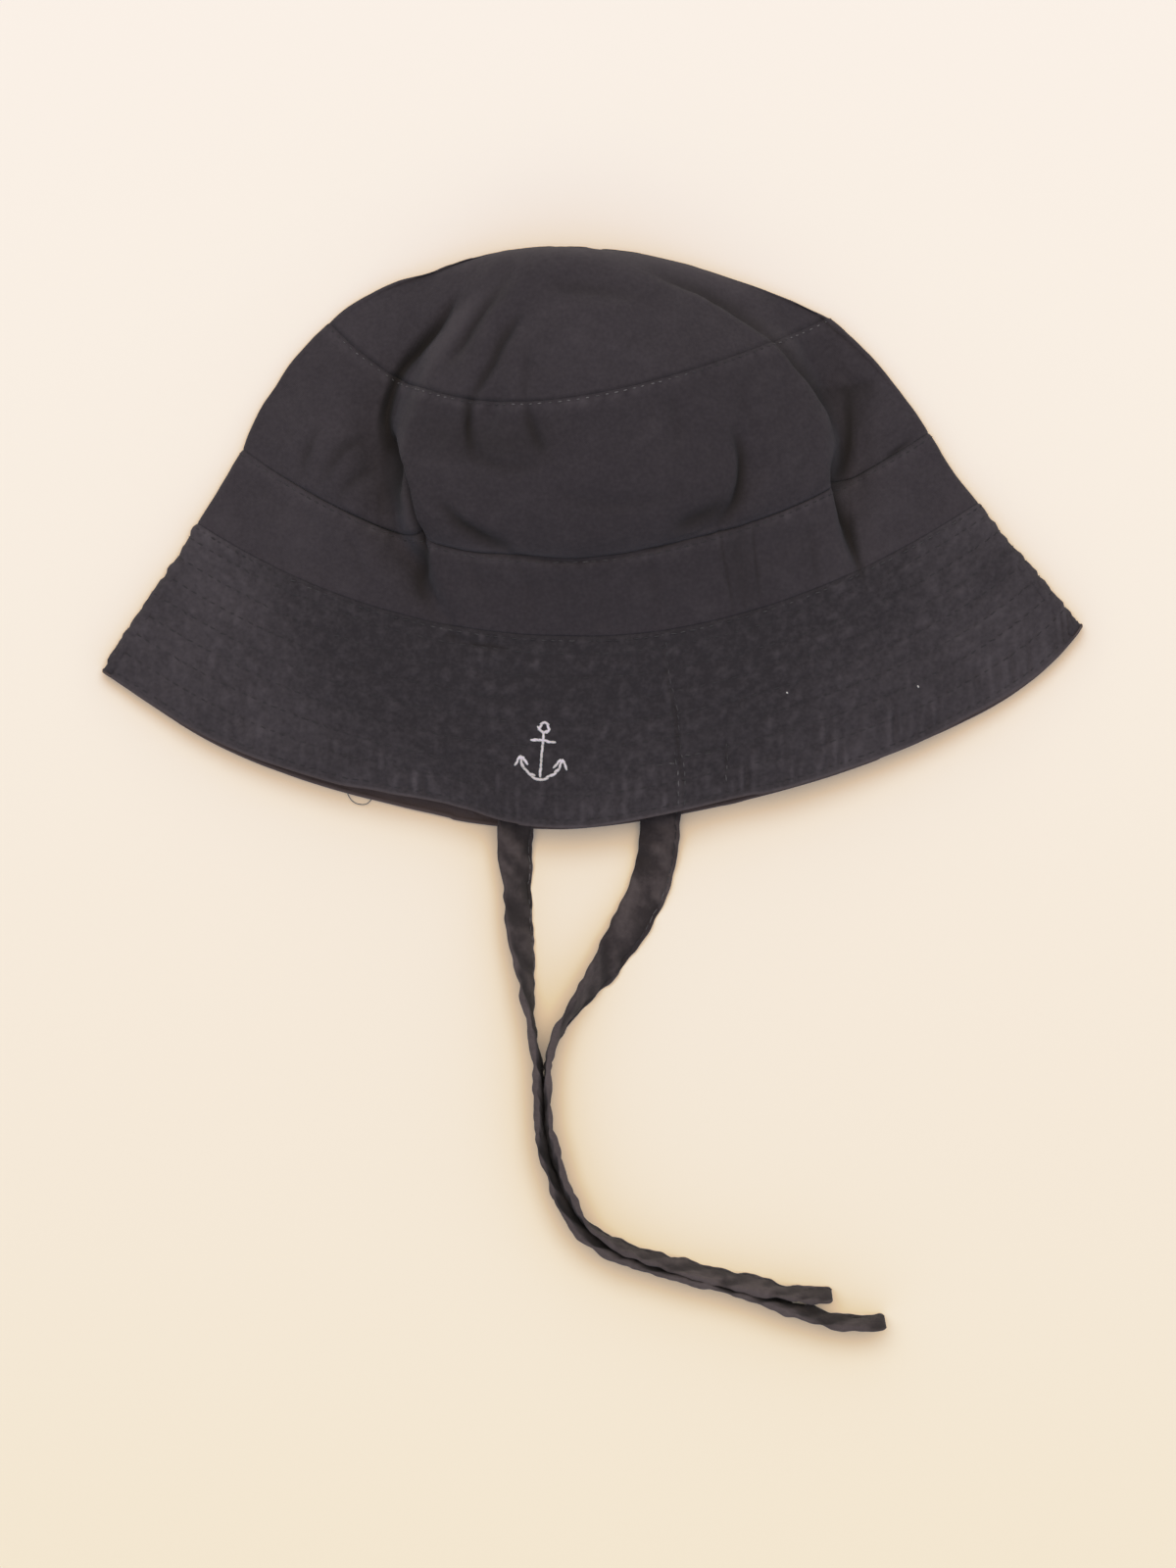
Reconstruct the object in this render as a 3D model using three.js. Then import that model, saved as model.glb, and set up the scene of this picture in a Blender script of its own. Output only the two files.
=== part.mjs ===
// A toddler's cotton bucket sun hat with two chin ties, laid flat on its back.
// Millimetres, +Z up from the surface it lies on, +Y towards the top of the crown.
// The hat is a sewn tube of cloth pressed flat: every level is a closed loop that runs along the
// puffed front layer, turns through a narrow side fold and comes back along the flat back layer.
import * as THREE from "three";

// Flat widths across the seams and the brim's edge
const BRIM_SPAN = 275.6;
const BRIM_SEAM_SPAN = 218.4;
const BAND_SPAN = 191.4;
const TIP_SPAN = 139.7;

// Heights of the panels, up the middle of the front layer
const BRIM_DEPTH = 53.6;
const BAND_DEPTH = 21.4;
const SIDE_DEPTH = 42.4;
const TIP_DEPTH = 46.4;

// How high the front layer stands over the surface, at its middle
const EDGE_RISE = 14;
const BRIM_SEAM_RISE = 21;
const BAND_RISE = 27;
const TIP_RISE = 36;
const TOP_RISE = 14;
const SIDE_PUFF = 7;

// Cloth: the brim is two layers quilted together, the rest is a single or a faced layer
const BRIM_WALL = 2.2;
const BAND_WALL = 1.4;
const SIDE_WALL = 1.2;
const TIP_WALL = 1.2;
const SIDE_CREASE = 1.2;
const SEAM_GAP = 0.3;

// How much higher the front layer's brim edge lies than the back layer's, beside the middle
const FRONT_LIFT = 1.6;

// Chin ties: flat sewn straps
const TIE_WIDTH = 11.2;
const TIE_WALL = 1.6;
const TIE_STEPS = 60;
const TIE_COLOUR = 0x383236;

const HAT_LENGTH = BRIM_DEPTH + BAND_DEPTH + SIDE_DEPTH + TIP_DEPTH;

// The loops at the brim's edge and along the three seams. rise is the height of the front layer and
// wall the cloth that turns in the side folds. The rest are shares: shift moves the loop sideways and
// bowLeft and bowRight lift its ends over its lowest point, all by the span; low is where the lowest
// point lies, from -1 at the left to 1; bendLeft and bendRight are the powers of the two curves, and
// flick is the share of the right one that comes in its last stretch.
const LOOPS = [
  { span: BRIM_SPAN, depth: 0, rise: EDGE_RISE, wall: BRIM_WALL, shift: 0, low: -0.06,
    bowLeft: 0.1615, bowRight: 0.2083, bendLeft: 2.0, bendRight: 1.5, flick: 0.32 },
  { span: BRIM_SEAM_SPAN, depth: BRIM_DEPTH, rise: BRIM_SEAM_RISE, wall: BRIM_WALL, shift: -0.005, low: 0,
    bowLeft: 0.147, bowRight: 0.1735, bendLeft: 2.2, bendRight: 1.9, flick: 0 },
  { span: BAND_SPAN, depth: BAND_DEPTH, rise: BAND_RISE, wall: BAND_WALL, shift: -0.009, low: -0.08,
    bowLeft: 0.164, bowRight: 0.188, bendLeft: 2.1, bendRight: 1.9, flick: 0 },
  { span: TIP_SPAN, depth: SIDE_DEPTH, rise: TIP_RISE, wall: TIP_WALL, shift: -0.0276, low: -0.2,
    bowLeft: 0.1775, bowRight: 0.187, bendLeft: 2.5, bendRight: 1.7, flick: 0 },
];
const TIP_LEVEL = LOOPS.length - 1;

// The crown's outline past the tip's seam: the pole's place, as a share of the span, and how far each
// side's curve runs out and up before it turns in, as shares of the way to the pole
const POLE_SHIFT = -0.064;
const SHOULDER = { left: { out: 0.335, up: 0.893 }, right: { out: 0.427, up: 0.887 } };

// The panels. rows are the shares of the panel's height that carry a row of points, and swell is how
// far its side edges curve out, as a share of its height.
const PANELS = [
  { name: "brim", level: 0, depth: BRIM_DEPTH, wall: BRIM_WALL, swell: 0, puff: 0,
    rows: [0, 0.2, 0.4, 0.6, 0.8, 1], colour: 0x39353a },
  { name: "band", level: 1, depth: BAND_DEPTH, wall: BAND_WALL, swell: 0, puff: 0,
    rows: [0, 0.5, 1], colour: 0x343137 },
  { name: "side_panel", level: 2, depth: SIDE_DEPTH, wall: SIDE_WALL, swell: 0.078, puff: SIDE_PUFF,
    rows: [0, 0.07, 0.18, 0.32, 0.47, 0.62, 0.76, 0.89, 1], colour: 0x363236 },
  { name: "crown_tip", level: 3, depth: TIP_DEPTH, wall: TIP_WALL, swell: 0, puff: 0,
    rows: [0, 0.12, 0.25, 0.38, 0.51, 0.64, 0.76, 0.87, 0.95], colour: 0x3a363a },
];

// Folds in the front layer. depth is a share of the crown's rise; inner and outer are the reach of
// the fold's two flanks, as shares of the band's span, inner towards the hat's middle. Each station
// gives a level, counted in panels from the brim's edge, the place across and the share of the depth.
const FOLDS = [
  { name: "deep left fold", depth: 0.36, inner: 0.018, outer: 0.05, stations: [
    { level: 0.85, across: -0.33, share: 0 }, { level: 1.5, across: -0.45, share: 0.35 },
    { level: 2.0, across: -0.555, share: 0.7 }, { level: 2.5, across: -0.65, share: 1 },
    { level: 3.0, across: -0.695, share: 0.75 }, { level: 3.5, across: -0.74, share: 0.3 },
    { level: 3.8, across: -0.75, share: 0 }] },
  { name: "deep right fold", depth: 0.3, inner: 0.018, outer: 0.04, stations: [
    { level: 0.85, across: 0.69, share: 0 }, { level: 1.5, across: 0.73, share: 0.35 },
    { level: 2.0, across: 0.78, share: 0.75 }, { level: 2.5, across: 0.84, share: 1 },
    { level: 3.0, across: 0.875, share: 0.3 }, { level: 3.3, across: 0.88, share: 0 }] },
  { name: "left pouch fold", depth: 0.07, inner: 0.02, outer: 0.02, stations: [
    { level: 2.35, across: -0.33, share: 0 }, { level: 2.85, across: -0.35, share: 1 },
    { level: 3.3, across: -0.3, share: 0 }] },
  { name: "right pouch fold", depth: 0.08, inner: 0.03, outer: 0.02, stations: [
    { level: 1.98, across: 0.38, share: 0 }, { level: 2.25, across: 0.52, share: 1 },
    { level: 2.75, across: 0.56, share: 0 }] },
  { name: "tip hollow", depth: 0.09, inner: 0.05, outer: 0.04, stations: [
    { level: 3.1, across: -0.42, share: 0 }, { level: 3.45, across: -0.4, share: 1 },
    { level: 3.8, across: -0.2, share: 0 }] },
];

// Columns of the front layer: how many lie between the deep folds and beside them, and the places of
// those that follow each fold, from its line towards the middle, as shares of the half span
const WING_COLUMNS = 8;
const MIDDLE_COLUMNS = 26;
const FOLD_COLUMNS = [-0.11, -0.065, -0.03, -0.01, 0.012, 0.035, 0.07];
const BACK_COLUMNS = 14;
const TURN_COLUMNS = 4;

// How far up and down the hat, in panels, the skin is sampled to find which way it faces
const FACING_STEP = 0.02;

// Powers of the curves: how the front layer's height falls away to the sides, along a seam and at
// the top of the crown; how early up the panel the side's puff peaks; how sharply the right end of
// the brim's edge flicks up; and how late the back layer and the side fold rise to the top fold
const SEAM_ARCH = 1.15;
const POLE_ARCH = 0.55;
const PUFF_POWER = 0.6;
const FLICK_POWER = 6;
const BACK_POWER = 4;
const FOLD_POWER = 1.5;

const mix = THREE.MathUtils.lerp;

// A value between the stations of a table, held constant past its ends
function between(stations, level, column) {
  const last = stations.length - 1;
  if (level <= stations[0].level) return stations[0][column];
  if (level >= stations[last].level) return stations[last][column];
  const next = stations.findIndex((station) => station.level > level);
  const [low, high] = [stations[next - 1], stations[next]];
  return mix(low[column], high[column], (level - low.level) / (high.level - low.level));
}

// The loop at a seam or between two seams
function sewnLoop(level) {
  const index = Math.min(Math.floor(level), TIP_LEVEL - 1);
  const part = level - index;
  const loop = {};
  for (const column of Object.keys(LOOPS[0])) {
    loop[column] = mix(LOOPS[index][column], LOOPS[index + 1][column], part);
  }
  const panel = PANELS[index];
  const swell = panel.swell * panel.depth * 4 * part * (1 - part);
  const climbed = LOOPS.slice(1, index + 1).reduce((sum, row) => sum + row.depth, 0);
  const middle = -HAT_LENGTH / 2 + climbed + part * LOOPS[index + 1].depth;
  const centre = loop.shift * loop.span;
  return {
    ...loop,
    middle,
    left: new THREE.Vector2(centre - loop.span / 2 - swell, middle + loop.bowLeft * loop.span),
    right: new THREE.Vector2(centre + loop.span / 2 + swell, middle + loop.bowRight * loop.span),
    front: loop.rise + panel.puff * Math.sin(Math.PI * part ** PUFF_POWER),
    back: 0,
    turn: loop.wall + SIDE_CREASE / 2,
    turnHeight: loop.wall + SIDE_CREASE / 2,
    arch: SEAM_ARCH,
  };
}

// The loop on the crown's tip, which shrinks to the pole at the top fold
function tipLoop(part) {
  const seam = sewnLoop(TIP_LEVEL);
  const pole = new THREE.Vector2(POLE_SHIFT * TIP_SPAN, HAT_LENGTH / 2);
  const side = (end, shoulder) => {
    const reach = pole.clone().sub(end);
    const corner = new THREE.Vector2(end.x + reach.x * shoulder.out, end.y + reach.y * shoulder.up);
    return new THREE.QuadraticBezierCurve(end, corner, pole).getPoint(part);
  };
  const round = Math.sqrt(1 - part ** 2);
  return {
    ...seam,
    middle: seam.middle + part * TIP_DEPTH,
    low: mix(seam.low, 0, part),
    left: side(seam.left, SHOULDER.left),
    right: side(seam.right, SHOULDER.right),
    front: TOP_RISE + (TIP_RISE - TOP_RISE) * round,
    back: TOP_RISE * (1 - Math.sqrt(1 - part ** BACK_POWER)),
    turn: seam.turn * (1 - part),
    turnHeight: mix(seam.turnHeight, TOP_RISE, part ** FOLD_POWER),
    arch: mix(SEAM_ARCH, POLE_ARCH, part),
  };
}

const loopAt = (level) => (level <= TIP_LEVEL ? sewnLoop(level) : tipLoop(level - TIP_LEVEL));

// How far the front layer sinks into the folds at one place
function foldDepth(level, across, halfSpan) {
  let sunk = 0;
  for (const fold of FOLDS) {
    const share = between(fold.stations, level, "share");
    const line = between(fold.stations, level, "across");
    const inward = (across - line) * -Math.sign(line);
    const reach = (inward > 0 ? fold.inner : fold.outer) * BAND_SPAN;
    sunk += share * fold.depth * TIP_RISE * Math.exp(-(((inward * halfSpan) / reach) ** 2));
  }
  return sunk;
}

// The height over the middle of a loop's curve, from its lowest point out to its ends
function climb(loop, across) {
  if (across < loop.low) {
    return (loop.left.y - loop.middle) * ((loop.low - across) / (1 + loop.low)) ** loop.bendLeft;
  }
  const out = (across - loop.low) / (1 - loop.low);
  const curve = (1 - loop.flick) * out ** loop.bendRight + loop.flick * out ** FLICK_POWER;
  return (loop.right.y - loop.middle) * curve;
}

// The places across the front layer that carry a column of points, denser along the deep folds
function frontColumns(level) {
  const [leftFold, rightFold] = FOLDS.map((fold) => between(fold.stations, level, "across"));
  const left = FOLD_COLUMNS.map((offset) => leftFold + offset);
  const right = FOLD_COLUMNS.map((offset) => rightFold - offset).reverse();
  const spread = (from, to, count) =>
    Array.from({ length: count }, (_, i) => mix(from, to, i / count));
  return [
    ...spread(-1, left[0], WING_COLUMNS),
    ...left,
    ...spread(left.at(-1), right[0], MIDDLE_COLUMNS).slice(1),
    ...right,
    ...spread(1, right.at(-1), WING_COLUMNS).reverse(),
  ];
}

// One closed loop of points on the hat's outer skin: front layer, right turn, back layer, left turn
function skinLoop(level) {
  const loop = loopAt(level);
  const centre = (loop.left.x + loop.right.x) / 2;
  const halfSpan = (loop.right.x - loop.left.x) / 2;
  const flat = halfSpan - loop.turn;
  const place = (x, z, lift = 0) => {
    const across = THREE.MathUtils.clamp((x - centre) / halfSpan, -1, 1);
    return new THREE.Vector3(x, loop.middle + climb(loop, across) + lift, z);
  };
  const points = [];
  const edge = Math.max(0, 1 - level);
  for (const across of frontColumns(level)) {
    const over = loop.front - loop.turnHeight - loop.turn;
    const height = loop.turnHeight + loop.turn + over * (1 - across ** 2) ** loop.arch;
    const lift = FRONT_LIFT * edge * Math.abs(Math.sin(Math.PI * across));
    points.push(place(centre + across * flat, height - foldDepth(level, across, halfSpan), lift));
  }
  for (const sign of [1, -1]) {
    for (let i = 1; i < TURN_COLUMNS; i++) {
      const angle = (Math.PI * i) / TURN_COLUMNS;
      const out = sign * (flat + loop.turn * Math.sin(angle));
      points.push(place(centre + out, loop.turnHeight + sign * loop.turn * Math.cos(angle)));
    }
    if (sign < 0) break;
    for (let i = 0; i < BACK_COLUMNS; i++) {
      const across = 1 - (2 * i) / (BACK_COLUMNS - 1);
      const under = loop.turnHeight - loop.turn - loop.back;
      const height = loop.back + under * (1 - (1 - across ** 2) ** loop.arch);
      points.push(place(centre + across * flat, height));
    }
  }
  return points;
}

// The outer and inner loops of a panel's row, the inner one a wall's thickness in from the skin
function wallLoops(level, wall) {
  const outer = skinLoop(level);
  const below = skinLoop(Math.max(level - FACING_STEP, 0));
  const above = skinLoop(level + FACING_STEP);
  const inner = outer.map((point, i) => {
    const count = outer.length;
    const round = outer[(i + 1) % count].clone().sub(outer[(i + count - 1) % count]);
    const up = above[i].clone().sub(below[i]);
    return point.clone().addScaledVector(round.cross(up).normalize(), -wall);
  });
  return { outer, inner };
}

// Gathers triangles by their corners and makes a mesh of them
class Surface {
  corners = [];
  triangle(a, b, c) {
    this.corners.push(a, b, c);
  }
  quad(a, b, c, d) {
    this.triangle(a, b, c);
    this.triangle(a, c, d);
  }
  // A band of faces between two closed loops, each quad turning from the first to the second
  band(from, to) {
    from.forEach((point, i) => {
      const next = (i + 1) % from.length;
      this.quad(point, from[next], to[next], to[i]);
    });
  }
  fan(loop, tip) {
    loop.forEach((point, i) => this.triangle(point, loop[(i + 1) % loop.length], tip));
  }
  mesh(name, colour) {
    const geometry = new THREE.BufferGeometry().setFromPoints(this.corners);
    geometry.computeVertexNormals();
    const material = new THREE.MeshStandardMaterial({ color: colour, roughness: 0.95, metalness: 0 });
    const made = new THREE.Mesh(geometry, material);
    made.name = name;
    return made;
  }
}

// A ring panel, or the tip, which closes at the pole: an outer skin, an inner skin and their hems
function panelMesh(panel) {
  const closes = panel.level === TIP_LEVEL;
  const margin = SEAM_GAP / 2 / panel.depth;
  const first = panel.level > 0 ? margin : 0;
  const last = closes ? 0 : margin;
  const levels = panel.rows.map((row) => panel.level + THREE.MathUtils.clamp(row, first, 1 - last));
  const loops = levels.map((level) => wallLoops(level, panel.wall));
  const surface = new Surface();
  for (let i = 1; i < loops.length; i++) {
    surface.band(loops[i - 1].outer, loops[i].outer);
    surface.band(loops[i].inner, loops[i - 1].inner);
  }
  surface.band(loops[0].inner, loops[0].outer);
  if (closes) {
    const pole = new THREE.Vector3(POLE_SHIFT * TIP_SPAN, HAT_LENGTH / 2, TOP_RISE);
    const inside = pole.clone().setY(pole.y - panel.wall);
    surface.fan(loops.at(-1).outer, pole);
    surface.fan(loops.at(-1).inner.toReversed(), inside);
  } else {
    surface.band(loops.at(-1).outer, loops.at(-1).inner);
  }
  return surface.mesh(panel.name, panel.colour);
}

// Routes of the ties, chosen by hand, from the seam inside the brim to the free end: x, y, the lean of
// the strap from flat, in degrees, and the height of its lower edge over the surface.
const UPPER_TIE = [
  [21.5, -29.2, 0, 14.9], [20.9, -41.5, 0, 11.6], [20.4, -55.3, 0, 8.0], [19.5, -69.0, 0, 4.6],
  [19.2, -79.5, 0, 3.1], [18.7, -85.5, 1, 2.3], [17.9, -91.0, 2, 0.9], [16.5, -96.5, 4, 0.1],
  [14.4, -102.0, 7, 0], [11.4, -107.5, 11, 0], [8.1, -113.0, 16, 0], [4.7, -118.5, 24, 0],
  [0.8, -124.0, 36, 0], [-3.3, -129.5, 50, 0], [-7.2, -135.0, 64, 0], [-10.0, -141.1, 76, 0],
  [-11.5, -147.4, 83, 0], [-11.7, -154.3, 85, 0], [-11.6, -161.2, 85, 0], [-10.8, -168.0, 85, 0],
  [-9.0, -175.5, 85, 0], [-5.9, -183.2, 84, 0], [-1.6, -190.3, 83, 0], [4.8, -196.1, 81, 0],
  [12.7, -200.1, 79, 0], [21.5, -203.0, 77, 0], [29.7, -205.2, 76, 0], [38.8, -207.4, 76, 0],
  [47.0, -209.6, 76, 0], [53.9, -211.1, 76, 0], [60.8, -211.8, 75, 0], [67.1, -211.8, 74, 0],
];
const LOWER_TIE = [
  [-20.4, -29.2, 0, 2.6], [-20.6, -41.5, 3, 2.6], [-20.9, -55.3, 9, 2.6], [-21.2, -69.0, 18, 2.6],
  [-21.4, -79.5, 27, 2.6], [-21.3, -85.5, 34, 1.9], [-21.1, -91.0, 41, 0.7], [-20.8, -96.5, 45, 0],
  [-20.5, -102.0, 48, 0], [-20.3, -107.5, 51, 0], [-19.9, -113.0, 56, 0], [-19.3, -118.5, 63, 0],
  [-18.6, -124.0, 70, 0], [-17.8, -129.5, 77, 0], [-17.1, -135.0, 82, 0], [-16.3, -140.5, 85, 0],
  [-15.4, -146.6, 85, 0], [-14.8, -152.9, 85, 0], [-14.6, -160.3, 85, 0], [-13.9, -168.6, 85, 0],
  [-12.1, -176.8, 85, 0], [-8.8, -185.6, 84, 0], [-3.9, -193.1, 83, 0], [3.0, -198.9, 81, 0],
  [11.6, -202.8, 79, 0], [20.4, -205.8, 77, 0], [28.6, -207.9, 76, 0], [37.4, -210.4, 76, 0],
  [47.0, -213.3, 76, 0], [53.9, -215.7, 76, 0], [60.0, -217.6, 76, 0], [67.7, -219.2, 76, 0],
  [75.4, -219.5, 75, 0], [82.0, -219.2, 74, 0],
];

// The strap's section: a flat bar with its corners taken off, as shares of half its width and wall
const TIE_SECTION = [
  [1, 0.4], [0.94, 1], [-0.94, 1], [-1, 0.4], [-1, -0.4], [-0.94, -1], [0.94, -1], [1, -0.4],
];

// Half the height of the leaning strap
function halfHeight(lean) {
  return (TIE_WIDTH * Math.abs(Math.sin(lean)) + TIE_WALL * Math.abs(Math.cos(lean))) / 2;
}

function tieMesh(name, route) {
  const leans = route.map(([, , degrees]) => THREE.MathUtils.degToRad(degrees));
  const curve = new THREE.CatmullRomCurve3(
    route.map(([x, y, , height], i) => new THREE.Vector3(x, y, height + halfHeight(leans[i]))),
  );
  const up = new THREE.Vector3(0, 0, 1);
  const sections = Array.from({ length: TIE_STEPS + 1 }, (_, step) => {
    const along = (step / TIE_STEPS) * (route.length - 1);
    const index = Math.min(Math.floor(along), route.length - 2);
    const lean = mix(leans[index], leans[index + 1], along - index);
    const middle = curve.getPoint(step / TIE_STEPS);
    const forward = curve.getTangent(step / TIE_STEPS);
    const aside = forward.clone().cross(up).normalize();
    const over = aside.clone().cross(forward);
    const wide = aside.clone().multiplyScalar(Math.cos(lean)).addScaledVector(over, Math.sin(lean));
    const thick = wide.clone().cross(forward);
    return TIE_SECTION.map(([w, t]) =>
      middle
        .clone()
        .addScaledVector(wide, (w * TIE_WIDTH) / 2)
        .addScaledVector(thick, (t * TIE_WALL) / 2),
    );
  });
  const surface = new Surface();
  for (let i = 1; i < sections.length; i++) surface.band(sections[i], sections[i - 1]);
  const [start, end] = [sections[0], sections.at(-1)];
  for (let i = 1; i < start.length - 1; i++) {
    surface.triangle(start[0], start[i], start[i + 1]);
    surface.triangle(end[0], end[i + 1], end[i]);
  }
  return surface.mesh(name, TIE_COLOUR);
}

const hat = new THREE.Group();
for (const panel of PANELS) hat.add(panelMesh(panel));
hat.add(tieMesh("tie_upper", UPPER_TIE));
hat.add(tieMesh("tie_lower", LOWER_TIE));

export default hat;
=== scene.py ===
# %% [markdown]
# # A toddler's cotton sun hat with two chin ties
#
# The real hat is a bucket hat of washed dark navy cotton. It lies flat on its back on a pale table and
# is seen from straight above. Four sewn panels make it: a quilted brim, a plain band, the side of the
# crown and the tip that closes the top. Two flat ties come out from under the brim.
#
# The construction comes first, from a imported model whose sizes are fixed. This lesson gives that model
# its cloth: folds, quilting, puckers, seams, stitches and the washed colour.

# %% Load the construction
import math
from collections import namedtuple

import bpy
import numpy as np
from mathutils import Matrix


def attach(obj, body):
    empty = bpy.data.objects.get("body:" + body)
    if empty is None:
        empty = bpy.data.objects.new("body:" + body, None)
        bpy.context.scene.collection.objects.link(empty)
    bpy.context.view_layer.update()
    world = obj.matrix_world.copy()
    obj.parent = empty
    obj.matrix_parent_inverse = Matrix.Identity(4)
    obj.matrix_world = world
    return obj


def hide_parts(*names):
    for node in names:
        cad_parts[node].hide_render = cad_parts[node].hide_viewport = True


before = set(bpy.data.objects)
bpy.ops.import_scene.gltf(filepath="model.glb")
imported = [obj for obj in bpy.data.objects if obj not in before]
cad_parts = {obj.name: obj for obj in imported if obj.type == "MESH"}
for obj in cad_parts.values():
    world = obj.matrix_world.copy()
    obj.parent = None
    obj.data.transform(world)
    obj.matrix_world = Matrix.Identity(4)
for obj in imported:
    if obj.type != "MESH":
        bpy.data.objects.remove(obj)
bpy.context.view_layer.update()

print("nodes:", sorted(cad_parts))

# %% [markdown]
# ## The camera
#
# The photo was taken from straight above, so the camera looks down the Z axis. A pixel of the photo is
# a fixed length on the table, which lets a fold be placed by the pixel where the photo shows it.

# %% The photo's frame
PIXEL = 0.000275
PHOTO_SIZE = (1200, 1600)
ORIGIN_PIXEL = (604.0, 548.9)
CAMERA_HEIGHT = 1.3
SENSOR = 36.0
CENTRE_X = (PHOTO_SIZE[0] / 2 - ORIGIN_PIXEL[0]) * PIXEL
CENTRE_Y = (ORIGIN_PIXEL[1] - PHOTO_SIZE[1] / 2) * PIXEL

bpy.ops.object.select_all(action="DESELECT")
bpy.ops.object.camera_add(location=(CENTRE_X, CENTRE_Y, CAMERA_HEIGHT), rotation=(0, 0, 0))
camera = bpy.context.object
camera.data.lens = SENSOR * CAMERA_HEIGHT / (PHOTO_SIZE[1] * PIXEL)
camera.data.sensor_width = SENSOR
bpy.context.scene.camera = camera
print(f"lens {camera.data.lens:.1f} mm at {CAMERA_HEIGHT} m")


# %% Where the camera sees a point
def to_photo(points):
    """The photo's pixels that show these points. Nearer points spread out from the middle."""
    spread = CAMERA_HEIGHT / (CAMERA_HEIGHT - points[..., 2]) / PIXEL
    across = PHOTO_SIZE[0] / 2 + (points[..., 0] - CENTRE_X) * spread
    down = PHOTO_SIZE[1] / 2 - (points[..., 1] - CENTRE_Y) * spread
    return np.stack([across, down], axis=-1)


# %% [markdown]
# ## Helpers for cloth
#
# Every piece of cloth here starts as a flat grid, whose points are then moved into place. The grid
# keeps its order, so a point's row and column say where it is on the cloth.

# %% Grids of cloth
def start_grid(name, columns, rows):
    """A flat grid, and the row and column of each of its points."""
    bpy.ops.object.select_all(action="DESELECT")
    bpy.ops.mesh.primitive_grid_add(x_subdivisions=columns, y_subdivisions=rows, size=1, calc_uvs=True)
    piece = bpy.context.object
    piece.name = name
    flat = np.empty(len(piece.data.vertices) * 3)
    piece.data.vertices.foreach_get("co", flat)
    shares = flat.reshape(-1, 3) + 0.5
    column = np.rint(shares[:, 0] * columns).astype(int)
    row = np.rint(shares[:, 1] * rows).astype(int)
    return piece, row, column


def set_points(piece, points):
    piece.data.vertices.foreach_set("co", np.ascontiguousarray(points, dtype=np.float32).ravel())
    piece.data.update()


def set_cloth_map(piece, around, along):
    """A UV map in metres: around and along the cloth."""
    corner = np.empty(len(piece.data.loops), dtype=int)
    piece.data.loops.foreach_get("vertex_index", corner)
    metres = np.stack([around[corner], along[corner]], axis=-1)
    piece.data.uv_layers[0].name = "cloth"
    piece.data.uv_layers["cloth"].data.foreach_set("uv", metres.astype(np.float32).ravel())


def set_attribute(piece, name, values):
    made = piece.data.attributes.new(name, "FLOAT", "POINT")
    made.data.foreach_set("value", values.astype(np.float32))


def in_edit_mode(piece, *steps):
    """Runs edit-mode operators on all of one piece."""
    bpy.ops.object.select_all(action="DESELECT")
    piece.select_set(True)
    bpy.context.view_layer.objects.active = piece
    bpy.ops.object.mode_set(mode="EDIT")
    bpy.ops.mesh.select_all(action="SELECT")
    for step in steps:
        step()
    bpy.ops.object.mode_set(mode="OBJECT")


def settle(piece):
    """Puts a piece's object at the origin, with its place in its mesh."""
    piece.location = (0, 0, 0)
    piece.rotation_euler = (0, 0, 0)
    piece.scale = (1, 1, 1)


# %% [markdown]
# Washed cloth is never smooth. Its small rises and hollows come from seeded gradient noise, one bump
# to each unit of its coordinates, so that a length in metres divided by a bump's size places it.

# %% Seeded noise
LATTICE = 128


def ease(t):
    return t * t * t * (t * (t * 6 - 15) + 10)


def mix(a, b, t):
    return a + (b - a) * t


def rumple(x, y, seed):
    """Smooth noise from about -1 to 1."""
    angles = np.random.default_rng(seed).uniform(0, 2 * math.pi, (LATTICE, LATTICE))
    left, low = np.floor(x).astype(int), np.floor(y).astype(int)
    right_part, up_part = x - left, y - low

    def pull(i, j):
        angle = angles[(left + i) % LATTICE, (low + j) % LATTICE]
        return np.cos(angle) * (right_part - i) + np.sin(angle) * (up_part - j)

    below = mix(pull(0, 0), pull(1, 0), ease(right_part))
    above = mix(pull(0, 1), pull(1, 1), ease(right_part))
    return 1.5 * mix(below, above, ease(up_part))


def bell(distance, reach):
    """1 at no distance, falling away softly over the reach."""
    return np.exp(-((distance / reach) ** 2))


def step_up(value, low, high):
    """0 below low, 1 above high and a smooth rise between them."""
    t = np.clip((value - low) / (high - low), 0, 1)
    return t * t * (3 - 2 * t)


def rounded_edge(distance, radius):
    """How far an edge lies in, where it rounds over towards a corner."""
    return radius - np.sqrt(np.clip(radius**2 - np.clip(radius - distance, 0, radius) ** 2, 0, None))


# %% [markdown]
# ## The chin ties
#
# Each tie is a flat strap of folded cotton, stitched along one edge and about 11 mm wide. It leaves the
# seam inside the brim, lies flat at first and then stands up on its edge, so that from above it shows
# as a thin dark line. A tie is limp, free cloth, so it follows a route of points, with the lean of
# the strap at each. The route is the same one that the construction's plain straps follow.

# %% The routes: x, y, lean from flat in degrees, and height of the lower edge
TIE_WIDTH = 0.0112
TIE_WALL = 0.0016

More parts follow.
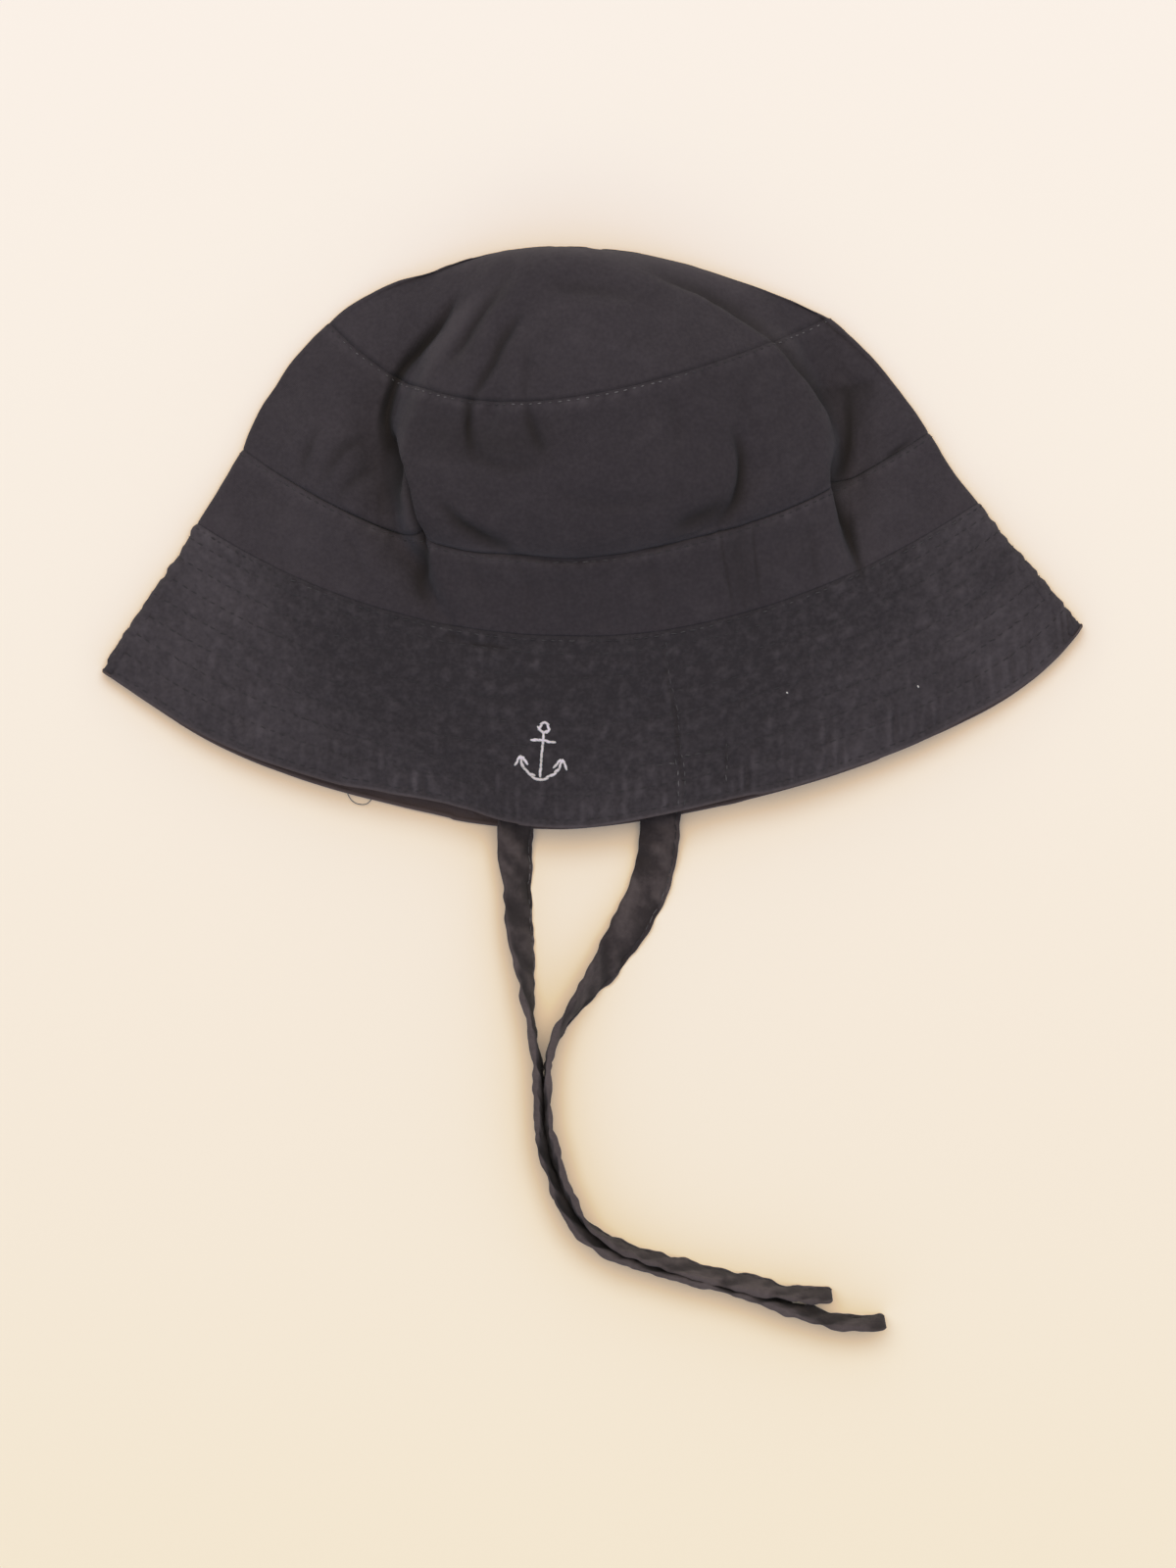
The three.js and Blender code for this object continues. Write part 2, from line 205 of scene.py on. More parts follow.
UPPER_TIE = [
    (0.0215, -0.0292, 0, 0.0149), (0.0209, -0.0415, 0, 0.0116), (0.0204, -0.0553, 0, 0.0080),
    (0.0195, -0.0690, 0, 0.0046), (0.0192, -0.0795, 0, 0.0031), (0.0187, -0.0855, 1, 0.0023),
    (0.0179, -0.0910, 4, 0.0009), (0.0165, -0.0965, 9, 0.0001), (0.0144, -0.1020, 14, 0),
    (0.0114, -0.1075, 20, 0), (0.0081, -0.1130, 28, 0), (0.0047, -0.1185, 40, 0),
    (0.0008, -0.1240, 54, 0), (-0.0033, -0.1295, 66, 0), (-0.0072, -0.1350, 76, 0),
    (-0.0104, -0.1411, 84, 0), (-0.0123, -0.1474, 91, 0), (-0.0126, -0.1543, 96, 0),
    (-0.0124, -0.1612, 99, 0), (-0.0116, -0.1680, 101, 0), (-0.0097, -0.1757, 101, 0),
    (-0.0066, -0.1836, 98, 0), (-0.0022, -0.1909, 92, 0), (0.0045, -0.1965, 85, 0),
    (0.0127, -0.2001, 79, 0), (0.0215, -0.2030, 77, 0), (0.0297, -0.2052, 76, 0),
    (0.0388, -0.2074, 76, 0), (0.0470, -0.2096, 76, 0), (0.0539, -0.2111, 76, 0),
    (0.0608, -0.2118, 75, 0), (0.0671, -0.2118, 74, 0),
]
LOWER_TIE = [
    (-0.0204, -0.0292, 0, 0.0026), (-0.0206, -0.0415, 3, 0.0026), (-0.0209, -0.0553, 9, 0.0026),
    (-0.0212, -0.0690, 24, 0.0024), (-0.0214, -0.0795, 33, 0.0022), (-0.0213, -0.0855, 37, 0.0017),
    (-0.0211, -0.0910, 41, 0.0007), (-0.0208, -0.0965, 45, 0), (-0.0205, -0.1020, 48, 0),
    (-0.0203, -0.1075, 51, 0), (-0.0199, -0.1130, 56, 0), (-0.0193, -0.1185, 63, 0),
    (-0.0186, -0.1240, 70, 0), (-0.0178, -0.1295, 77, 0), (-0.0171, -0.1350, 82, 0),
    (-0.0163, -0.1405, 84, 0), (-0.0153, -0.1466, 82, 0), (-0.0146, -0.1529, 80, 0),
    (-0.0144, -0.1603, 79, 0), (-0.0137, -0.1686, 79, 0), (-0.0119, -0.1768, 79, 0),
    (-0.0086, -0.1856, 79, 0), (-0.0036, -0.1930, 79, 0), (0.0033, -0.1985, 79, 0),
    (0.0117, -0.2021, 78, 0), (0.0206, -0.2049, 77, 0), (0.0289, -0.2069, 76, 0),
    (0.0377, -0.2093, 76, 0), (0.0472, -0.2122, 76, 0), (0.0541, -0.2147, 76, 0),
    (0.0601, -0.2168, 76, 0), (0.0677, -0.2192, 76, 0), (0.0754, -0.2195, 75, 0),
    (0.0820, -0.2192, 74, 0),
]


# %% A smooth line through a route
def smooth_line(stations, steps):
    """A curve through every station, evenly spaced in the stations' own count."""
    points = np.array(stations, dtype=float)
    first, last = 2 * points[0] - points[1], 2 * points[-1] - points[-2]
    padded = np.vstack([first, points, last])
    along = np.linspace(0, len(points) - 1, steps + 1)
    index = np.minimum(along.astype(int), len(points) - 2)
    t = (along - index)[:, None]
    a, b, c, d = (padded[index + k] for k in range(4))
    return 0.5 * (2 * b + (c - a) * t + (2 * a - 5 * b + 4 * c - d) * t**2 + (3 * b - a - 3 * c + d) * t**3)


def lengths_along(points):
    """How far along a line each of its points lies."""
    steps = np.linalg.norm(np.diff(points, axis=0), axis=1)
    return np.concatenate([[0], np.cumsum(steps)])


def unit(vectors):
    return vectors / np.maximum(np.linalg.norm(vectors, axis=-1, keepdims=True), 1e-12)


# %% The strap's frame
TIE_STEPS = 620
TIE_SIDES = 40
TIE_CORNER = 0.3


def tie_frame(route):
    """The strap's middle line, the ways of its width and its thickness, and its lean."""
    line = smooth_line(route, TIE_STEPS)
    lean = np.radians(line[:, 2])
    half_height = (TIE_WIDTH * np.abs(np.sin(lean)) + TIE_WALL * np.abs(np.cos(lean))) / 2
    middle = np.column_stack([line[:, 0], line[:, 1], line[:, 3] + half_height])
    forward = unit(np.gradient(middle, axis=0))
    aside = unit(np.cross(forward, [0, 0, 1]))
    over = np.cross(aside, forward)
    wide = aside * np.cos(lean)[:, None] + over * np.sin(lean)[:, None]
    return middle, wide, np.cross(wide, forward), lean


# %% [markdown]
# The strap's edges ruffle where the stitching draws the cloth in, and where the strap bends it gets
# creases across. Both grow from noise that runs along the strap. In these lines s is the length along
# the strap and w the place across it, from -1 to 1. A number added to a coordinate of the noise only
# picks another part of it.

# %% Ruffles and creases of a strap
RUFFLE, RUFFLE_PITCH = 0.0006, 0.0052
WAVE_SHARE, WAVE_PITCH = 0.6, 0.014
SCALLOP_SHARE, SCALLOP_PITCH = 0.55, 0.0042
TIE_CREASE, TIE_CREASE_TOP = 0.0008, 0.3
BAND_PITCH, FINE_PITCH = 0.0062, 0.0031
SLANT = 0.45
TIE_STITCH_IN = 0.0013
CHANNEL_DEPTH, CHANNEL_REACH = 0.0003, 0.0005


def slanted(s, w):
    return s + SLANT * TIE_WIDTH * w


def near_edge(w):
    return np.abs(w) ** 3


def beside_stitches(w, off=0.0):
    """1 on the strap's line of stitches, or off it by a distance, and 0 on the strap's other half."""
    from_edge = (1 - np.abs(w)) * TIE_WIDTH / 2
    return bell(from_edge - TIE_STITCH_IN - off, CHANNEL_REACH) * (w < 0)


def tie_relief(s, w, seed):
    """How far the strap leaves its flat, how its edge goes in and out, its swelling and its bands."""
    ruffle = RUFFLE * near_edge(w) * rumple(s / RUFFLE_PITCH, 2.5 * np.sign(w) + 9, seed)
    wave = WAVE_SHARE * RUFFLE * rumple(s / WAVE_PITCH, w * 0.4 + 3, seed + 1)
    scallops = np.sign(w) * rumple(s / SCALLOP_PITCH, 4 * np.sign(w) + 5, seed + 2)
    in_out = SCALLOP_SHARE * RUFFLE * near_edge(w) * scallops
    bands = rumple(slanted(s, w) / BAND_PITCH, w * 0.5 + 5, seed + 3)
    fine = rumple(slanted(s, w) / FINE_PITCH, w * 0.9 + 8, seed + 5)
    swelling = TIE_CREASE * (np.minimum(bands, TIE_CREASE_TOP) + 0.5 * fine)
    return ruffle + wave, in_out, swelling - CHANNEL_DEPTH * beside_stitches(w), bands


# %% [markdown]
# Where the strap stands up, its edges turn pale: partly rubbed cloth, partly a painted highlight where an
# edge faces up. The rest is painted lighter on its raised slanting bands and darker in their hollows, which
# is painted light and shade of its bends, with small patches of fading, and a dark line runs beside the
# stitches.

# %% Wear and painted light of a strap
TIE_FADE = 0.25
PATCH_PITCH, RUB_PITCH = 0.0034, 0.004
DARK_LINE_OFF_STITCHES = 0.0006
SHADED_HOLLOW_BAND = 0.15


def tie_wear_and_light(lean, s, w, bands, seed):
    """Where a strap is pale: fading, and painted light on its raised bands and upturned edges. Where it is
    dark: painted shade in its hollows, and a line beside its stitches.
    """
    # Where the strap stands, its edges face up: rubbed pale, and a painted highlight.
    rubbed = (np.sin(lean) ** 4)[:, None] * np.abs(w) ** 6 * (1 + rumple(s / RUB_PITCH, w + 6, seed + 6))
    small = rumple(slanted(s, w) / PATCH_PITCH, w * 1.2 + 2, seed + 4)
    # Lighter on raised bands, darker in their hollows: painted light and shade of the bends, with random
    # fading.
    patches = 2.0 * np.maximum(bands, -TIE_CREASE_TOP) + 0.7 * small
    worn = TIE_FADE + patches * (1 - 0.7 * near_edge(w)) + 1.6 * rubbed
    # Painted shade in the bands' hollows, and a dark line beside the stitches.
    dark = 0.4 * beside_stitches(w, DARK_LINE_OFF_STITCHES) + 0.8 * np.clip(-bands - SHADED_HOLLOW_BAND, 0, 1)
    return np.clip(worn, 0, 1), np.clip(dark, 0, 1)


# %% Make a tie
END_ROUND = 0.0014
END_CORNER = 0.0013
OVER_TABLE = 0.0002
SAME_PLACE = 1e-6


def close_ends(piece):
    """Joins the strap's long edge and fills its two open ends."""
    in_edit_mode(
        piece,
        lambda: bpy.ops.mesh.remove_doubles(threshold=SAME_PLACE),
        lambda: bpy.ops.mesh.select_all(action="DESELECT"),
        lambda: bpy.ops.mesh.select_non_manifold(extend=False, use_wire=False, use_multi_face=False,
                                                 use_non_contiguous=False, use_verts=False),
        lambda: bpy.ops.mesh.edge_face_add(),
        lambda: bpy.ops.mesh.select_all(action="SELECT"),
        lambda: bpy.ops.mesh.normals_make_consistent(inside=False),
    )
    bpy.ops.object.shade_smooth()


def tie_cloth(name, route, seed):
    middle, wide, thick, lean = tie_frame(route)
    piece, row, column = start_grid(name, TIE_SIDES, TIE_STEPS)
    travelled = lengths_along(middle)
    turn = 2 * math.pi * np.arange(TIE_SIDES + 1) / TIE_SIDES
    across = np.sign(np.cos(turn)) * np.abs(np.cos(turn)) ** TIE_CORNER
    through = np.sign(np.sin(turn)) * np.abs(np.sin(turn)) ** TIE_CORNER
    s, w = np.meshgrid(travelled, across, indexing="ij")
    off_flat, in_out, swelling, bands = tie_relief(s, w, seed)
    from_end = np.minimum(s + END_ROUND, travelled[-1] - s)
    taper = np.sqrt(np.clip(from_end / END_ROUND, 0, 1))
    half = TIE_WALL / 2 * taper + swelling * taper
    narrowing = 1 - rounded_edge(travelled[-1] - s, END_CORNER) / (TIE_WIDTH / 2)
    sideways = (w * TIE_WIDTH / 2 + in_out) * narrowing
    points = (
        middle[:, None]
        + wide[:, None] * sideways[..., None]
        + thick[:, None] * (through * half + off_flat)[..., None]
    )
    points[..., 2] = np.maximum(points[..., 2], OVER_TABLE)
    points[:, -1] = points[:, 0]
    points[-1, :] = points[-1].mean(axis=0) + wide[-1] * sideways[-1][:, None]
    settle(piece)
    set_points(piece, points[row, column])
    set_cloth_map(piece, (w * TIE_WIDTH / 2)[row, column], s[row, column])
    # worn holds fading and painted light; deep holds painted shade and the line beside the stitches.
    worn, dark = tie_wear_and_light(lean, s, w, bands, seed)
    set_attribute(piece, "worn", worn[row, column])
    set_attribute(piece, "deep", dark[row, column])
    close_ends(piece)
    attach(piece, "root")
    print(f"{name}: {travelled[-1] * 1000:.0f} mm long, {len(piece.data.polygons)} faces")
    off_stitches = np.abs(sideways[0] + TIE_WIDTH / 2 - TIE_STITCH_IN) + (through < 0)
    return piece, middle, (points[:, np.argmin(off_stitches)], thick)


tie_upper, upper_line, upper_stitching = tie_cloth("tie_upper_cloth", UPPER_TIE, 11)
tie_lower, lower_line, lower_stitching = tie_cloth("tie_lower_cloth", LOWER_TIE, 31)
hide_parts("tie_upper")
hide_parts("tie_lower")

# %% [markdown]

# %% [markdown]
# ## The hat's skin
#
# The hat is a sewn tube that lies pressed flat. At every level it is one closed loop: along the puffed
# front layer, round a narrow side fold and back along the flat back layer. Four loops have set sizes:
# the brim's edge and the three seams. The skin between them is worked out, as the construction
# does it, so that the cloth stays where the construction says.

# %% The loops at the edge and the seams
BRIM_DEPTH, BAND_DEPTH, SIDE_DEPTH, TIP_DEPTH = 0.0536, 0.0214, 0.0424, 0.0464
BRIM_WALL, BAND_WALL, SIDE_WALL, TIP_WALL = 0.0022, 0.0014, 0.0012, 0.0012
HAT_LENGTH = BRIM_DEPTH + BAND_DEPTH + SIDE_DEPTH + TIP_DEPTH
BAND_SPAN = 0.1914
TIP_SPAN = 0.1397
TIP_RISE = 0.036
TOP_RISE = 0.014
SIDE_CREASE = 0.0012
FRONT_LIFT = 0.0016
FRONT_ARCH, TOP_ARCH = 1.15, 0.55
FLICK_POWER = 6
PUFF_LEAN = 0.6

LOOPS = [
    {"span": 0.2756, "depth": 0, "rise": 0.014, "wall": BRIM_WALL, "shift": 0, "low": -0.06,
     "bow_left": 0.1615, "bow_right": 0.2083, "bend_left": 2.0, "bend_right": 1.5, "flick": 0.32},
    {"span": 0.2184, "depth": BRIM_DEPTH, "rise": 0.021, "wall": BRIM_WALL, "shift": -0.005, "low": 0,
     "bow_left": 0.147, "bow_right": 0.1735, "bend_left": 2.2, "bend_right": 1.9, "flick": 0},
    {"span": BAND_SPAN, "depth": BAND_DEPTH, "rise": 0.027, "wall": BAND_WALL, "shift": -0.009, "low": -0.08,
     "bow_left": 0.164, "bow_right": 0.188, "bend_left": 2.1, "bend_right": 1.9, "flick": 0},
    {"span": TIP_SPAN, "depth": SIDE_DEPTH, "rise": TIP_RISE, "wall": TIP_WALL, "shift": -0.0276, "low": -0.2,
     "bow_left": 0.1775, "bow_right": 0.187, "bend_left": 2.5, "bend_right": 1.7, "flick": 0},
]
TIP_LEVEL = len(LOOPS) - 1
SWELL = [0, 0, 0.078]
PUFF = [0, 0, 0.007]
POLE = np.array([-0.064 * TIP_SPAN, HAT_LENGTH / 2])
SHOULDER = {"left": (0.335, 0.893), "right": (0.427, 0.887)}
print(f"the cloth is {HAT_LENGTH * 1000:.1f} mm from the brim's edge to the top")

# %% [markdown]
# Two deep folds run down the front where the cloth was pushed in, and a few shallow ones cross it. A
# fold's stations give a level, counted in panels from the brim's edge, a place across and a share of
# the fold's depth.

# %% The construction's folds
FOLDS = [
    {"depth": 0.36, "inner": 0.018, "outer": 0.05, "stations": [
        (0.85, -0.33, 0), (1.5, -0.45, 0.35), (2.0, -0.555, 0.7), (2.5, -0.65, 1),
        (3.0, -0.695, 0.75), (3.5, -0.74, 0.3), (3.8, -0.75, 0)]},
    {"depth": 0.3, "inner": 0.018, "outer": 0.04, "stations": [
        (0.85, 0.69, 0), (1.5, 0.73, 0.35), (2.0, 0.78, 0.75), (2.5, 0.84, 1),
        (3.0, 0.875, 0.3), (3.3, 0.88, 0)]},
    {"depth": 0.07, "inner": 0.02, "outer": 0.02, "stations": [
        (2.35, -0.33, 0), (2.85, -0.35, 1), (3.3, -0.3, 0)]},
    {"depth": 0.08, "inner": 0.03, "outer": 0.02, "stations": [
        (1.98, 0.38, 0), (2.25, 0.52, 1), (2.75, 0.56, 0)]},
    {"depth": 0.09, "inner": 0.05, "outer": 0.04, "stations": [
        (3.1, -0.42, 0), (3.45, -0.4, 1), (3.8, -0.2, 0)]},
]


def at_level(stations, level):
    """A fold's place across and its share of the depth at one level."""
    levels, places, shares = zip(*stations)
    return np.interp(level, levels, places), np.interp(level, levels, shares)


# %% A loop at any level
def sewn_loop(level):
    index = min(int(level), TIP_LEVEL - 1)
    part = level - index
    loop = {key: mix(LOOPS[index][key], LOOPS[index + 1][key], part) for key in LOOPS[0]}
    swell = SWELL[index] * LOOPS[index + 1]["depth"] * 4 * part * (1 - part)
    climbed = sum(row["depth"] for row in LOOPS[1:index + 1])
    middle = -HAT_LENGTH / 2 + climbed + part * LOOPS[index + 1]["depth"]
    centre = loop["shift"] * loop["span"]
    turn = loop["wall"] + SIDE_CREASE / 2
    loop.update(
        middle=middle,
        left=np.array([centre - loop["span"] / 2 - swell, middle + loop["bow_left"] * loop["span"]]),
        right=np.array([centre + loop["span"] / 2 + swell, middle + loop["bow_right"] * loop["span"]]),
        front=loop["rise"] + PUFF[index] * math.sin(math.pi * part**PUFF_LEAN),
        back=0, turn=turn, turn_height=turn, arch=FRONT_ARCH,
    )
    return loop


def tip_loop(part):
    """A loop on the crown's tip, which shrinks to the pole at the top fold."""
    seam = sewn_loop(TIP_LEVEL)

    def side(name):
        end, (out, up) = seam[name], SHOULDER[name]
        corner = end + (POLE - end) * np.array([out, up])
        return (1 - part) ** 2 * end + 2 * part * (1 - part) * corner + part**2 * POLE

    seam.update(
        middle=seam["middle"] + part * TIP_DEPTH,
        low=mix(seam["low"], 0, part),
        left=side("left"), right=side("right"),
        front=TOP_RISE + (TIP_RISE - TOP_RISE) * math.sqrt(1 - part**2),
        back=TOP_RISE * (1 - math.sqrt(1 - part**4)),
        turn=seam["turn"] * (1 - part),
        turn_height=mix(seam["turn_height"], TOP_RISE, part**1.5),
        arch=mix(FRONT_ARCH, TOP_ARCH, part),
    )
    return seam


def loop_at(level):
    return sewn_loop(level) if level <= TIP_LEVEL else tip_loop(level - TIP_LEVEL)


# %% Heights along a loop
def fold_depth(level, across, half_span):
    """How far the front layer sinks into the construction's folds."""
    sunk = np.zeros_like(across)
    for fold in FOLDS:
        line, share = at_level(fold["stations"], level)
        inward = (across - line) * -np.sign(line)
        reach = np.where(inward > 0, fold["inner"], fold["outer"]) * BAND_SPAN
        sunk += share * fold["depth"] * TIP_RISE * bell(inward * half_span, reach)
    return sunk


def climb(loop, across):
    """The height over the middle of a loop's curve, from its lowest point out to its ends."""
    to_left = np.clip((loop["low"] - across) / (1 + loop["low"]), 0, None)
    to_right = np.clip((across - loop["low"]) / (1 - loop["low"]), 0, None)
    left = (loop["left"][1] - loop["middle"]) * to_left ** loop["bend_left"]
    curve = (1 - loop["flick"]) * to_right ** loop["bend_right"] + loop["flick"] * to_right**FLICK_POWER
    right = (loop["right"][1] - loop["middle"]) * curve
    return np.where(across < loop["low"], left, right)


# %% [markdown]
# The grid's columns go once round the loop, from the middle of the back. The front layer shows, so it
# gets most of them, and they gather along the two deep folds, where the cloth bends most.

# %% Columns round the loop
COLUMNS = 744
BACK_SHARE = 0.14
TURN_SHARE = 0.02
FOLD_GATHER = 1.6
FOLD_GATHER_REACH = 0.05
PLACES = 1001
FADE_SHARE = 0.03


def front_places(level, shares):
    """Places from -1 to 1 across the front for shares of the front's columns."""
    across = np.linspace(-1, 1, PLACES)
    density = np.ones_like(across)
    for fold in FOLDS[:2]:
        line, _ = at_level(fold["stations"], level)
        density += FOLD_GATHER * bell(across - line, FOLD_GATHER_REACH)
    counted = np.concatenate([[0], np.cumsum((density[1:] + density[:-1]) / 2)])
    return np.interp(shares, counted / counted[-1], across)


round_share = np.arange(COLUMNS + 1) / COLUMNS
FRONT_START = BACK_SHARE + TURN_SHARE
front_share = (round_share - FRONT_START) / (1 - 2 * FRONT_START)
is_front = (front_share >= 0) & (front_share <= 1)
is_left_back = round_share < BACK_SHARE
is_right_back = round_share > 1 - BACK_SHARE
is_left_turn = ~is_left_back & (front_share < 0)
is_right_turn = ~is_right_back & (front_share > 1)
front_weight = step_up(0.5 - np.abs(front_share - 0.5), 0, FADE_SHARE)
back_fade = step_up(np.minimum(round_share, 1 - round_share), 0, FADE_SHARE)
print(f"{COLUMNS} columns, {is_front.sum()} of them on the front layer")


# %% The skin at one level
ARCH_END_SLOPE = 1.3


def skin_loop(level):
    loop = loop_at(level)
    centre = (loop["left"][0] + loop["right"][0]) / 2
    half_span = (loop["right"][0] - loop["left"][0]) / 2
    flat = half_span - loop["turn"]
    x = np.zeros(COLUMNS + 1)
    z = np.zeros(COLUMNS + 1)
    lift = np.zeros(COLUMNS + 1)

    across = front_places(level, front_share[is_front])
    over = loop["front"] - loop["turn_height"] - loop["turn"]
    lean = math.atan2(ARCH_END_SLOPE * over, flat)
    reach = flat + loop["turn"] * math.sin(lean)
    foot = loop["turn_height"] + loop["turn"] * math.cos(lean)
    arched = foot + (loop["front"] - foot) * np.clip(1 - across**2, 0, 1) ** loop["arch"]
    x[is_front] = centre + across * reach
    z[is_front] = arched - fold_depth(level, across, half_span)
    lift[is_front] = FRONT_LIFT * max(0, 1 - level) * np.abs(np.sin(math.pi * across))

    for chosen, side, past in (
        (is_left_turn, -1, (FRONT_START - round_share) / TURN_SHARE),
        (is_right_turn, 1, (round_share - 1 + FRONT_START) / TURN_SHARE),
    ):
        angle = lean + (math.pi - lean) * past[chosen]
        x[chosen] = centre + side * (flat + loop["turn"] * np.sin(angle))
        z[chosen] = loop["turn_height"] + loop["turn"] * np.cos(angle)

    under = loop["turn_height"] - loop["turn"] - loop["back"]
    for chosen, side, out in (
        (is_left_back, -1, round_share / BACK_SHARE),
        (is_right_back, 1, (1 - round_share) / BACK_SHARE),
    ):
        place = side * out[chosen]
        x[chosen] = centre + place * flat
        z[chosen] = loop["back"] + under * (1 - np.clip(1 - place**2, 0, 1) ** loop["arch"])

    where = np.clip((x - centre) / half_span, -1, 1)
    return np.column_stack([x, loop["middle"] + climb(loop, where) + lift, z]), where


# %% Which way the skin faces
FACING_STEP = 0.02
TOP_LEVEL = TIP_LEVEL + 0.9995


def round_steps(skin):
    """From each point's left neighbour in its loop to its right one."""
    wrapped = np.concatenate([skin[:, -2:-1], skin, skin[:, 1:2]], axis=1)
    return wrapped[:, 2:] - wrapped[:, :-2]


def facing(skin):
    """Which way a finished skin faces at each point, from its neighbours in the grid."""
    return unit(np.cross(round_steps(skin), np.gradient(skin, axis=0)))


def base_facing(skin, levels):
    """Which way the bare skin faces. It looks past a seam, so both panels agree there."""
    below = np.array([skin_loop(max(level - FACING_STEP, 0))[0] for level in levels])
    above = np.array([skin_loop(min(level + FACING_STEP, TOP_LEVEL))[0] for level in levels])
    return unit(np.cross(round_steps(skin), above - below))
